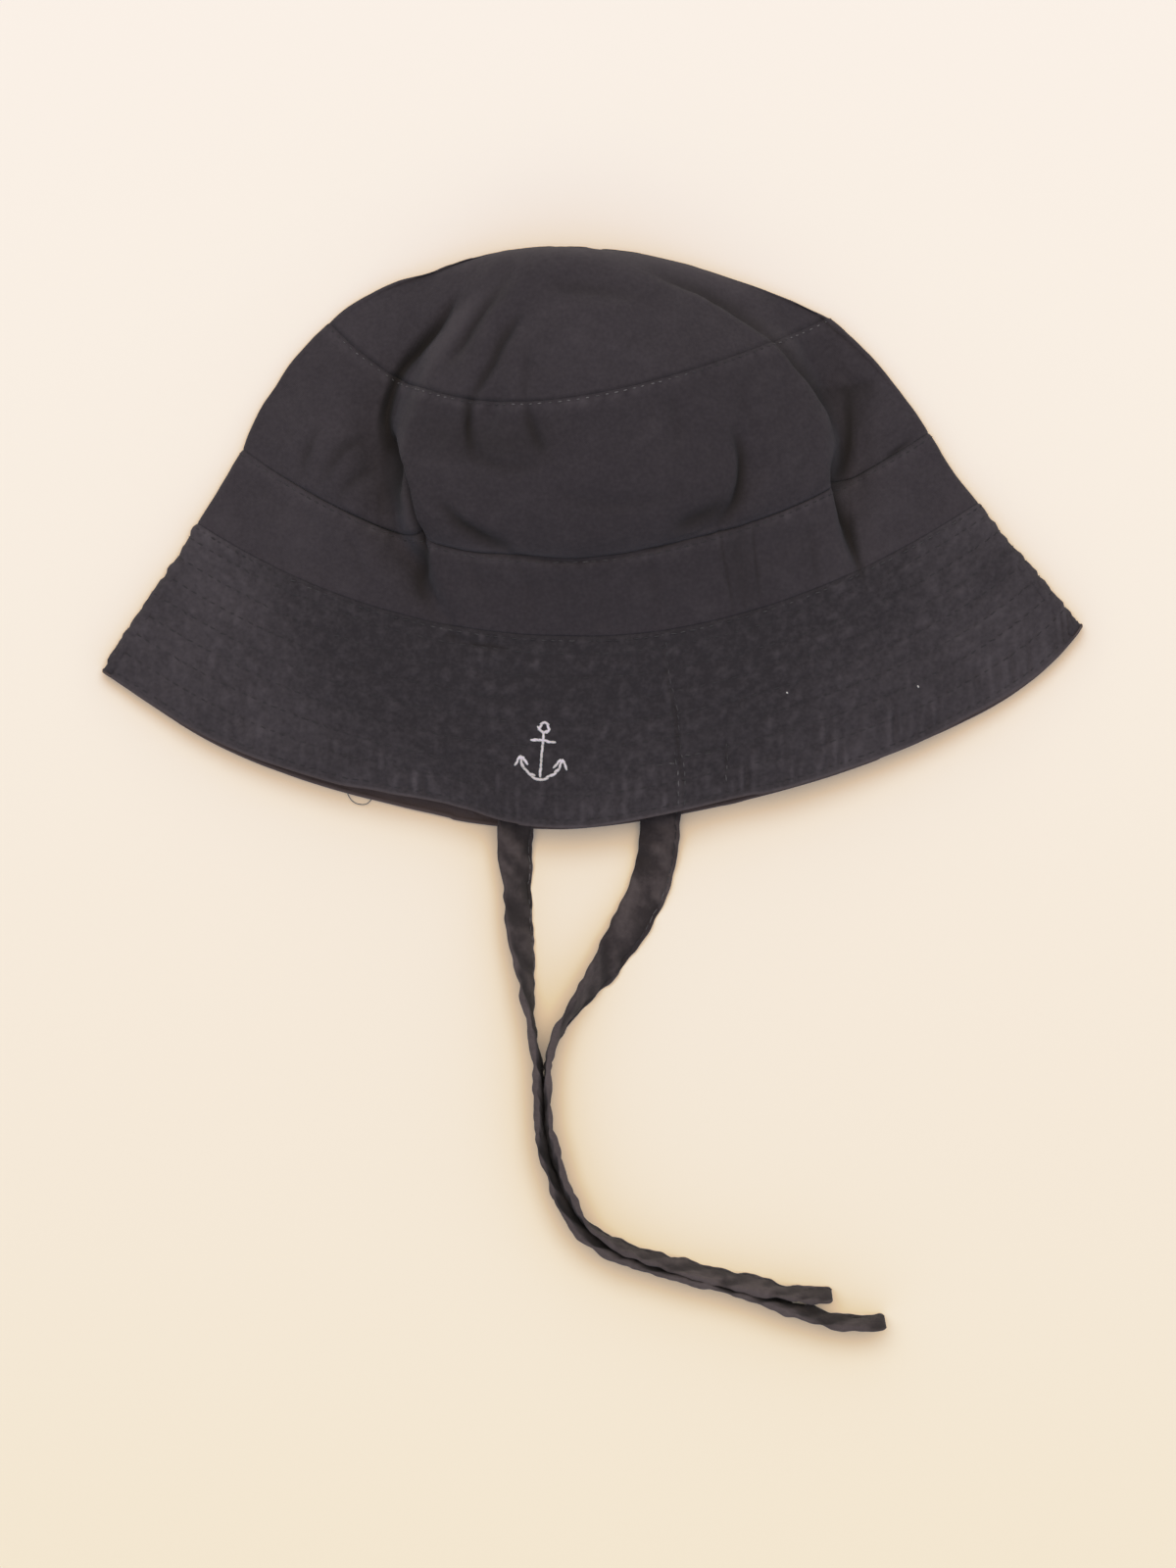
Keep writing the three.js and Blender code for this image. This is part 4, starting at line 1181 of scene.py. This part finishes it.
# %% [markdown]
# The tip has no seam at its far end: its rows close up to the fold at the top, where the rumples calm
# down. The raised cloth beside the upper seam of the band and the side is rubbed pale.

# %% Band, side and tip
BACK_RISE = 0.3
CALM_START, CALM_END = 0.0005, 0.006
PLAIN_WEAR = 600
RUB_UP, RUB_REACH = 0.0016, 0.0012


def plain_panel(name, index, depth, wall, rows, seed, last_seam=True, more_worn=0.0):
    parts = row_parts(rows, depth)
    if not last_seam:
        parts = np.sin(np.linspace(0, math.pi / 2, rows + 1))
    skin, face, room = base_skin(index, parts)
    around = cloth_lengths(skin)
    up = np.broadcast_to((parts * depth)[:, None], around.shape)
    raised = plain_cloth(around, up, depth, seed) * back_fade
    to_top = depth - up if last_seam else np.full_like(up, depth)
    broad = soft_rumples(skin)
    if not last_seam:
        calm = step_up(depth - up, CALM_START, CALM_END)
        raised, broad = raised * calm, broad * calm
    sunk, deep = all_creases(skin)
    sunk = within_room(sunk, room)
    if last_seam:
        sunk -= np.maximum(LAYERS - room, 0) * front_weight
    rise = raised * mix(BACK_RISE, 1, front_weight) + (broad - sunk) * back_fade
    rise = rise + allowance(to_top) - seam_dip(up) - seam_dip(to_top)
    skin += face * rise[..., None]
    skin[..., 2] = np.maximum(skin[..., 2], 0)
    uneven = np.clip(0.6 + rumple(around / 0.003, up / 0.01, seed + 5), 0, 2)
    rubbed = 0.5 * bell(to_top - RUB_UP, RUB_REACH) * uneven
    # Paler: fading and rubbing, with painted light on the wings and on the rolled sides.
    worn = wing_light_and_fade(skin) + roll_light_and_wear(face) + PLAIN_WEAR * np.maximum(raised, 0) + rubbed
    foot_dye_and_shade = BRIM_SEAM_DYE_AND_SHADE if index == 1 else 1.0
    # Darker: painted shade in the creases and seam grooves, with the seams' unfaded dye.
    deep = np.maximum(deep, foot_dye_and_shade * seam_dye_and_shade(up, around, seed + 6) + seam_dye_and_shade(to_top, around, seed + 7))
    piece = panel_cloth(name, skin, around, up, np.zeros_like(up), worn + more_worn, deep,
                        wall, room - sunk)
    return piece, skin, up


band, band_skin, band_up = plain_panel("band_cloth", 1, BAND_DEPTH, BAND_WALL, rows=24, seed=61)
side, side_skin, side_up = plain_panel("side_cloth", 2, SIDE_DEPTH, SIDE_WALL, rows=56, seed=71)
tip, _, _ = plain_panel("tip_cloth", 3, TIP_DEPTH, TIP_WALL, rows=52, seed=81, last_seam=False, more_worn=0.2)
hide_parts("band")
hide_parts("side_panel")
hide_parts("crown_tip")


# %% [markdown]
# ## Stitches
#
# A machine stitch is a short bead of thread that dips into the cloth at both ends. One bead is modelled
# and then set along each seam as a joined mesh, with the washed cloth's own small unevenness.

# %% One bead of thread
BEAD_HEIGHT = 0.8


def bead(length, width):
    """The points and faces of one stitch that lies along X, about the origin."""
    bpy.ops.object.select_all(action="DESELECT")
    bpy.ops.mesh.primitive_uv_sphere_add(segments=6, ring_count=4, radius=0.5)
    model = bpy.context.object
    bpy.ops.transform.rotate(value=math.pi / 2, orient_axis="Y", center_override=(0, 0, 0))
    bpy.ops.object.transform_apply(rotation=True)
    points = np.array([vertex.co for vertex in model.data.vertices]) * (length, width, BEAD_HEIGHT * width)
    faces = [list(face.vertices) for face in model.data.polygons]
    bpy.data.objects.remove(model)
    return points, faces


# %% Set beads along rows
FADE_RUN = 9


def stitches(name, rows, length, width, material, seed, uneven=0.12, faded=0.5):
    """A joined mesh of beads. Each row gives places, directions along the seam and ways up."""
    points, faces = bead(length, width)
    place, along, out = (np.concatenate(part) for part in zip(*rows))
    along, out = unit(along), unit(out)
    aside = unit(np.cross(out, along))
    out = np.cross(along, aside)
    rng = np.random.default_rng(seed)
    turn = rng.normal(0, uneven, len(place))[:, None]
    cos, sin = np.cos(turn), np.sin(turn)
    along, aside = along * cos + aside * sin, aside * cos - along * sin
    longer = (1 + rng.normal(0, uneven, len(place)))[:, None, None]
    beads = (
        place[:, None]
        + along[:, None] * points[None, :, :1] * longer
        + aside[:, None] * points[None, :, 1:2]
        + out[:, None] * points[None, :, 2:]
    )
    all_faces = [[v + k * len(points) for v in face] for k in range(len(place)) for face in faces]
    mesh = bpy.data.meshes.new(name)
    mesh.from_pydata(beads.reshape(-1, 3).tolist(), [], all_faces)
    piece = bpy.data.objects.new(name, mesh)
    bpy.context.collection.objects.link(piece)
    count = np.arange(len(place))
    slow = np.clip(0.75 + 1.5 * rumple(count / FADE_RUN, count * 0 + 0.5, seed), 0.1, 1.6)
    fade = np.repeat(np.clip(rng.normal(faded, 0.4 * faded, len(place)) * slow, 0, 1), len(points))
    set_attribute(piece, "worn", fade)
    piece.data.materials.append(material)
    in_edit_mode(piece, lambda: bpy.ops.mesh.normals_make_consistent(inside=False))
    bpy.ops.object.shade_smooth()
    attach(piece, "root")
    print(f"{name}: {len(place)} stitches")


# %% [markdown]
# Every finish is made of shader nodes. These helpers add a node, join it to its sources and give back
# its output, so that a finish reads from its sources to its colour.

# %% Nodes for the finishes
def new_finish(name):
    material = bpy.data.materials.new(name)
    material.use_nodes = True
    return material, material.node_tree, material.node_tree.nodes["Principled BSDF"]


def node(tree, kind, **settings):
    made = tree.nodes.new(kind)
    for key, value in settings.items():
        setattr(made, key, value)
    return made


def math_node(tree, operation, a, b=None):
    made = node(tree, "ShaderNodeMath", operation=operation)
    for socket, value in zip(made.inputs, (a, b)):
        if value is None:
            continue
        if isinstance(value, (int, float)):
            socket.default_value = value
        else:
            tree.links.new(value, socket)
    return made.outputs[0]


def attribute_node(tree, name):
    return node(tree, "ShaderNodeAttribute", attribute_name=name).outputs["Fac"]


def noise_node(tree, vector, scale, detail=2):
    made = node(tree, "ShaderNodeTexNoise")
    made.inputs["Scale"].default_value = scale
    made.inputs["Detail"].default_value = detail
    tree.links.new(vector, made.inputs["Vector"])
    return made.outputs["Fac"]


def blend_node(tree, share, first, second):
    """A blend of two colours, each a plain colour or another node's output."""
    made = node(tree, "ShaderNodeMix", data_type="RGBA", clamp_factor=True)
    tree.links.new(share, made.inputs["Factor"])
    for socket, colour in ((made.inputs["A"], first), (made.inputs["B"], second)):
        if isinstance(colour, tuple):
            socket.default_value = (*colour, 1)
        else:
            tree.links.new(colour, socket)
    return made.outputs["Result"]


def relief(tree, shader, height, distance):
    """Fine relief that only the light sees."""
    bump = node(tree, "ShaderNodeBump")
    bump.inputs["Distance"].default_value = distance
    tree.links.new(height, bump.inputs["Height"])
    tree.links.new(bump.outputs["Normal"], shader.inputs["Normal"])


# %% [markdown]
# The thread is the cloth's navy where it lies deep and pale where it has rubbed. Its fine twist breaks
# up both its colour and its light.

# %% Thread material
TWIST_SCALE = 2500
TWIST_BUMP = 0.00005


def thread(name, dark, faded, roughness, sheen):
    material, tree, shader = new_finish(name)
    shader.inputs["Roughness"].default_value = roughness
    shader.inputs["Sheen Weight"].default_value = sheen
    twist = noise_node(tree, node(tree, "ShaderNodeTexCoord").outputs["Object"], TWIST_SCALE)
    share = math_node(tree, "MULTIPLY", attribute_node(tree, "worn"), twist)
    tree.links.new(blend_node(tree, share, dark, faded), shader.inputs["Base Color"])
    relief(tree, shader, twist, TWIST_BUMP)
    print(f"{name}: {len(tree.nodes)} nodes")
    return material


navy_thread = thread("navy_thread", (0.018, 0.015, 0.018), (0.21, 0.19, 0.195), roughness=0.85, sheen=0.02)
white_thread = thread("white_thread", (0.50, 0.51, 0.56), (0.72, 0.74, 0.81), roughness=0.55, sheen=0.2)


# %% [markdown]
# The rows of stitches follow the finished cloth, so each is read off a panel's own grid at a set
# distance from its seam. The thread of the tip's seam has rubbed pale, and the quilting's hardly at all.

# %% Rows along the seams
STITCH_DRIFT = 0.06
HALF_STITCH = 0.3


def row_along(curve, out, pitch, lift, seed):
    """Places for stitches along a curve, with the ways along and out."""
    travelled = lengths_along(curve)
    rng = np.random.default_rng(seed)
    count = int(travelled[-1] / pitch)
    at = (np.arange(count) + 0.5) * travelled[-1] / count + rng.normal(0, STITCH_DRIFT * pitch, count)
    half = HALF_STITCH * pitch

    def read(values, where):
        return np.stack([np.interp(where, travelled, values[:, k]) for k in range(3)], axis=-1)

    ways_out = unit(read(out, at))
    return read(curve, at) + ways_out * lift, read(curve, at + half) - read(curve, at - half), ways_out


def row_on(skin, up, distance, pitch, lift, seed):
    """Places for stitches along one row of a panel, a set distance up it."""
    heights = up[:, 0]
    height = np.clip(distance, heights[0], heights[-1])
    upper = np.clip(np.searchsorted(heights, height), 1, len(heights) - 1)
    part = (height - heights[upper - 1]) / (heights[upper] - heights[upper - 1])
    face = facing(skin)
    return row_along(mix(skin[upper - 1], skin[upper], part), mix(face[upper - 1], face[upper], part),
                     pitch, lift, seed)


# %% Stitch the seams
TOP_STITCH_IN = 0.0013
TIP_STITCH_IN = 0.0008
SEAM_PITCH, QUILT_STITCH_PITCH, TIE_PITCH = 0.0026, 0.0031, 0.0025
ON_SEAM, ON_QUILTING, ON_TIE = 0.00005, 0.00002, 0.0001

side_row = row_on(side_skin, side_up, SIDE_DEPTH - TIP_STITCH_IN, SEAM_PITCH, ON_SEAM, 91)
band_row = row_on(band_skin, band_up, BAND_DEPTH - TOP_STITCH_IN, SEAM_PITCH, ON_SEAM, 92)
brim_top_row = row_on(brim_skin, brim_up, BRIM_DEPTH - TOP_STITCH_IN, SEAM_PITCH, ON_SEAM, 93)
brim_outer = brim_skin - facing(brim_skin) * brim_pinch[..., None]
quilt_rows = [row_on(brim_outer, brim_up, row, QUILT_STITCH_PITCH, ON_QUILTING, 94 + k)
              for k, row in enumerate(QUILT_ROWS)]
tie_rows = [row_along(line, out, TIE_PITCH, ON_TIE, 111 + k)
            for k, (line, out) in enumerate((upper_stitching, lower_stitching))]

for name, rows, length, width, seed, faded in (
    ("tip_seam_stitches", [side_row], 0.0011, 0.00040, 101, 0.75),
    ("band_seam_stitches", [band_row], 0.0016, 0.00034, 102, 0.2),
    ("brim_seam_stitches", [brim_top_row], 0.0016, 0.00036, 103, 0.3),
    ("tie_stitches", tie_rows, 0.0021, 0.00042, 108, 0.5),
    ("quilting_stitches", quilt_rows, 0.0019, 0.00034, 104, 0.05),
):
    stitches(name, rows, length, width, navy_thread, seed, faded=faded)

# %% [markdown]
# Some details are placed by where the photo shows them. The camera's own view of the cloth says which
# point of the finished brim lies under a pixel of the photo.

# %% Find the cloth under a pixel
NEIGHBOURS = 4
LEAST_AWAY = 0.2


def on_cloth(skin, pixels):
    """The points of a skin's front layer under some pixels of the photo, and the ways out of it."""
    front = skin[:, is_front]
    out = facing(skin)[:, is_front].reshape(-1, 3)
    seen = to_photo(front).reshape(-1, 2)
    places, ways = [], []
    for pixel in pixels:
        away = np.linalg.norm(seen - pixel, axis=1)
        near = np.argpartition(away, NEIGHBOURS)[:NEIGHBOURS]
        weight = 1 / (away[near] + LEAST_AWAY) ** 2
        weight /= weight.sum()
        places.append(weight @ front.reshape(-1, 3)[near])
        ways.append(weight @ out[near])
    return np.array(places), unit(np.array(ways))


LINE_STEPS = 12


def row_by_photo(skin, path, pitch, lift=ON_SEAM):
    """Places for stitches along a line of the photo."""
    line = smooth_line(path, LINE_STEPS * (len(path) - 1))
    travelled = lengths_along(line)
    count = max(int(travelled[-1] * PIXEL / pitch), 1)
    at = (np.arange(count) + 0.5) * travelled[-1] / count

    def pixels_at(where):
        return np.stack([np.interp(where, travelled, line[:, k]) for k in range(2)], axis=-1)

    places, out = on_cloth(skin, pixels_at(at))
    across, down = (pixels_at(at + 1) - pixels_at(at - 1)).T
    along = np.column_stack([across, -down, np.zeros(count)])
    along -= out * (along * out).sum(axis=1, keepdims=True)
    return places + out * lift, along, out


# %% [markdown]
# ### The brim's own seam
#
# The brim is a strip joined into a ring. Its join runs down the front, right of the middle, with a line
# of stitches on each side of it and a short doubled piece of hem at its foot.

# %% Stitches of the brim's seam
BRIM_SEAM = [(676, 652), (680, 690), (688, 724), (692, 764), (696, 792), (696, 824)]
RIGHT_OF_SEAM, LEFT_OF_SEAM = 3, 4
SEAM_LINES = [
    [(px + RIGHT_OF_SEAM, py) for px, py in BRIM_SEAM],
    [(px - LEFT_OF_SEAM, py) for px, py in BRIM_SEAM[2:]],
    [(667, 781), (680, 780), (692, 780)],
    [(697, 771), (712, 770), (727, 768)],
    [(741, 756), (742, 778), (741, 800)],
]
stitches("brim_join_stitches", [row_by_photo(brim_outer, line, SEAM_PITCH) for line in SEAM_LINES],
         length=0.0018, width=0.00036, material=navy_thread, seed=105, faded=0.35)

# %% [markdown]
# ### The embroidery
#
# A small plain anchor in white thread sits low on the brim's front. It is drawn in stem stitch, with
# slanted stitches that overlap along each line, so the same beads make it as make the seams.

# %% Anchor
ANCHOR_PIXEL = np.array((553.0, 769.0))
ANCHOR_TILT = math.radians(5)
STEM_PITCH, STEM_LIFT = 0.00095, 0.00012
ANCHOR_LINES = [
    [(0, -21), (-5, -26), (0, -31), (5, -26), (0, -21)],
    [(-12, -14), (0, -14), (12, -14)],
    [(0, -20), (0, 0), (0, 24)],
    [(-21, 6), (-18, 15), (-10, 22), (0, 26), (10, 22), (18, 15), (21, 6)],
    [(-26, 13), (-21, 5), (-14, 11)],
    [(26, 13), (21, 5), (14, 11)],
]


def turned(points, angle):
    cos, sin = math.cos(angle), math.sin(angle)
    return [(cos * x - sin * y, sin * x + cos * y) for x, y in points]


anchor_paths = [np.array(turned(line, ANCHOR_TILT)) + ANCHOR_PIXEL for line in ANCHOR_LINES]
anchor_rows = [row_by_photo(brim_outer, path, STEM_PITCH, STEM_LIFT) for path in anchor_paths]
stitches("anchor_embroidery", anchor_rows, length=0.0022, width=0.00085, material=white_thread,
         seed=106, uneven=0.1, faded=0.6)

# %% [markdown]
# Two tiny specks of pale lint cling to the right half of the brim, as in the photo. They are beads of
# the white thread.

# %% Lint
LINT = [[(802, 706), (804, 708)], [(936.5, 700.5), (938.5, 702.5)]]
LINT_PITCH, LINT_LIFT = 0.002, 0.00015
stitches("lint_specks", [row_by_photo(brim_outer, line, LINT_PITCH, LINT_LIFT) for line in LINT],
         length=0.0007, width=0.0005, material=white_thread, seed=107)

# %% [markdown]
# Under the left half of the hem a loop of loose thread lies just over the table. It is a curve with a
# round bevel, turned into a mesh.

# %% Loose thread
LOOSE_THREAD = [(355, 810), (358, 817), (364, 821), (371, 822), (377, 820), (380, 814)]
LOOSE_HEIGHT = 0.0012
THREAD_RADIUS = 0.00011
bpy.ops.object.select_all(action="DESELECT")
bpy.ops.curve.primitive_nurbs_path_add(location=(0, 0, 0))
loose = bpy.context.object
loose.name = "loose_thread"
spline = loose.data.splines[0]
spline.points.add(len(LOOSE_THREAD) - len(spline.points))
for point, (px, py) in zip(spline.points, LOOSE_THREAD):
    point.co = ((px - ORIGIN_PIXEL[0]) * PIXEL, (ORIGIN_PIXEL[1] - py) * PIXEL, LOOSE_HEIGHT, 1)
loose.data.bevel_depth = THREAD_RADIUS
loose.data.bevel_resolution = 1
bpy.ops.object.convert(target="MESH")
loose.data.materials.append(navy_thread)
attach(loose, "root")
print(f"loose_thread: {len(loose.data.polygons)} faces")

# %% [markdown]
# ## The washed cotton
#
# Cotton reads as cotton through its weave, its soft sheen and its uneven colour. The weave follows the
# cloth's own map, in metres. The colour fades where washing rubbed it and takes painted light on the wings,
# the rolled sides and the ties, which the worn attribute says. It is darkened where deep says so, with
# painted shade in creases and seam grooves and the seams' unfaded dye, and under the hem a third attribute
# turns it warm brown, painted light bounced into the shade there. A bump gives the weave and the fibres,
# which are too fine for the mesh.

# %% Cotton material
WEAVE_PITCH = 0.00048
WEAVE_COLOUR, WEAVE_HEIGHT = 0.08, 0.5
WEAVE_BUMP = 0.00006
CLOUD_SCALE, CLOUD_SHARE = 45, 1.5
SPECKLE_SCALE, SPECKLE_SHARE = 900, 0.6
MOTTLE_SCALE, MOTTLE_STRETCH = 260, 1.5
MOTTLE_COLOUR, MOTTLE_HEIGHT = 1.6, 10
FIBRE_SCALE, FIBRE_HEIGHT = 420, 2.2
# Painted shade of creases and seam grooves, with the seams' unfaded dye.
PAINTED_SHADE_AND_DYE = (0.0125, 0.0092, 0.0084)
# Painted warm light bounced into the shade under the hem.
WARM_BOUNCE_COLOUR = (0.100, 0.070, 0.066)


def woven(tree, cloth):
    """The weave's rise and fall, from the cloth's own map."""
    split = node(tree, "ShaderNodeSeparateXYZ")
    tree.links.new(cloth, split.inputs[0])
    turns = 2 * math.pi / WEAVE_PITCH
    warp, weft = (math_node(tree, "SINE", math_node(tree, "MULTIPLY", split.outputs[axis], turns))
                  for axis in ("X", "Y"))
    return math_node(tree, "MULTIPLY", warp, weft)


def mottled(tree, cloth):
    """The small dimples of washed cloth, a little longer around the hat than up it."""
    stretch = node(tree, "ShaderNodeMapping", vector_type="POINT")
    stretch.inputs["Scale"].default_value = (1, MOTTLE_STRETCH, 1)
    tree.links.new(cloth, stretch.inputs["Vector"])
    return math_node(tree, "SUBTRACT", noise_node(tree, stretch.outputs["Vector"], MOTTLE_SCALE), 0.5)


def summed(tree, terms):
    """The sum of some outputs, each times its own share."""
    total = None
    for output, share in terms:
        term = math_node(tree, "MULTIPLY", output, share)
        total = term if total is None else math_node(tree, "ADD", total, term)
    return total


def cotton(name, dark, faded, mottle):
    material, tree, shader = new_finish(name)
    shader.inputs["Roughness"].default_value = 0.92
    shader.inputs["Specular IOR Level"].default_value = 0.25
    shader.inputs["Sheen Weight"].default_value = 0.03
    shader.inputs["Sheen Roughness"].default_value = 0.6

    cloth = node(tree, "ShaderNodeUVMap", uv_map="cloth").outputs["UV"]
    place = node(tree, "ShaderNodeTexCoord").outputs["Object"]
    weave, dimple = woven(tree, cloth), mottled(tree, cloth)
    clouds = math_node(tree, "MULTIPLY", noise_node(tree, place, CLOUD_SCALE, 3), CLOUD_SHARE)
    speckle = math_node(tree, "SUBTRACT", noise_node(tree, place, SPECKLE_SCALE), 0.5)
    worn = math_node(tree, "MULTIPLY", attribute_node(tree, "worn"), clouds)
    spots = summed(tree, ((speckle, SPECKLE_SHARE), (weave, WEAVE_COLOUR), (dimple, MOTTLE_COLOUR * mottle)))
    colour = blend_node(tree, math_node(tree, "ADD", worn, spots), dark, faded)
    # First the painted warm bounce light, then the painted shade with the seams' dye.
    for attribute, dye in (("warm_bounce", WARM_BOUNCE_COLOUR), ("deep", PAINTED_SHADE_AND_DYE)):
        colour = blend_node(tree, attribute_node(tree, attribute), colour, dye)
    tree.links.new(colour, shader.inputs["Base Color"])

    fibres = noise_node(tree, place, FIBRE_SCALE, 3)
    height = summed(tree, ((weave, WEAVE_HEIGHT), (fibres, FIBRE_HEIGHT), (dimple, MOTTLE_HEIGHT * mottle)))
    relief(tree, shader, height, WEAVE_BUMP)
    print(f"{name}: {len(tree.nodes)} nodes")
    return material


crown_cotton = cotton("crown_cotton", (0.0275, 0.0215, 0.0258), (0.062, 0.051, 0.058), mottle=0.15)
brim_cotton = cotton("brim_cotton", (0.0235, 0.0190, 0.0223), (0.072, 0.060, 0.068), mottle=0.3)
tie_cotton = cotton("tie_cotton", (0.0335, 0.0250, 0.0262), (0.094, 0.073, 0.073), mottle=0.2)

# %% Dress the cloth
for material, pieces in (
    (brim_cotton, (brim,)), (crown_cotton, (band, side, tip)), (tie_cotton, (tie_upper, tie_lower)),
):
    for piece in pieces:
        piece.data.materials.clear()
        piece.data.materials.append(material)
    print(f"{material.name}: {len(pieces)} pieces")

# %% [markdown]
# ## Table and light
#
# The table is plain and cream, a little yellower towards the photo's foot, and wide enough to fill a
# low view too. The photo's light is very soft: a broad, slightly warm sun lamp gives the folds their
# shade, and an even, slightly cool sky fills it. On the table the two add up to white.

# %% Table
TABLE_SIZE = 30
TABLE_TOP, TABLE_LOW = (0.925, 0.835, 0.745), (0.880, 0.775, 0.615)
LOW_Y, TOP_Y = -0.29, 0.15
bpy.ops.object.select_all(action="DESELECT")
bpy.ops.mesh.primitive_plane_add(size=TABLE_SIZE, location=(0, 0, 0))
table = bpy.context.object
table.name = "table"
cream, tree, paint = new_finish("cream_table")
table.data.materials.append(cream)
split = node(tree, "ShaderNodeSeparateXYZ")
tree.links.new(node(tree, "ShaderNodeTexCoord").outputs["Object"], split.inputs[0])
up_the_photo = node(tree, "ShaderNodeMapRange")
up_the_photo.inputs["From Min"].default_value = LOW_Y
up_the_photo.inputs["From Max"].default_value = TOP_Y
tree.links.new(split.outputs["Y"], up_the_photo.inputs["Value"])
table_colour = blend_node(tree, up_the_photo.outputs["Result"], TABLE_LOW, TABLE_TOP)
tree.links.new(table_colour, paint.inputs["Base Color"])
paint.inputs["Roughness"].default_value = 0.95
paint.inputs["Specular IOR Level"].default_value = 0.1
print(f"a table of {TABLE_SIZE} m")

# %% Light
KEY_TILT, KEY_DISC = math.radians(-15), math.radians(60)
KEY_ENERGY, KEY_COLOUR = 2.046, (1.0, 0.901, 0.698)
SKY_STRENGTH, SKY_COLOUR = 0.6, (0.683, 0.787, 1.0)
bpy.ops.object.light_add(type="SUN", rotation=(KEY_TILT, 0, 0), location=(0, 0.6, 1.2))
key = bpy.context.object
key.name = "key"
key.data.energy = KEY_ENERGY
key.data.color = KEY_COLOUR
key.data.angle = KEY_DISC
world = bpy.data.worlds.new("soft_room")
bpy.context.scene.world = world
world.use_nodes = True
sky = world.node_tree.nodes["Background"]
sky.inputs["Color"].default_value = (*SKY_COLOUR, 1)
sky.inputs["Strength"].default_value = SKY_STRENGTH
view = bpy.context.scene.view_settings
view.view_transform = "Standard"
print(f"key {KEY_ENERGY}, sky {SKY_STRENGTH}")

# %% [markdown]
# The photo's half-tones are warmer than its lights: every shadow on the table is peach. A gentle curve
# for each of the three colours, in linear light, does the same. Each pair is a light and how it shows.

# %% Warm half-tones
HALF_TONES = [
    [(0.15, 0.15), (0.631, 0.680), (0.920, 0.905), (0.949, 0.948)],
    [(0.15, 0.15), (0.565, 0.527), (0.823, 0.815), (0.852, 0.862)],
    [(0.15, 0.15), (0.474, 0.375), (0.672, 0.682), (0.742, 0.768)],
]
view.use_curve_mapping = True
for curve, stations in zip(view.curve_mapping.curves, HALF_TONES):
    for light, shown in stations:
        curve.points.new(light, shown).handle_type = "VECTOR"
view.curve_mapping.update()
print("curve points:", [len(curve.points) for curve in view.curve_mapping.curves])
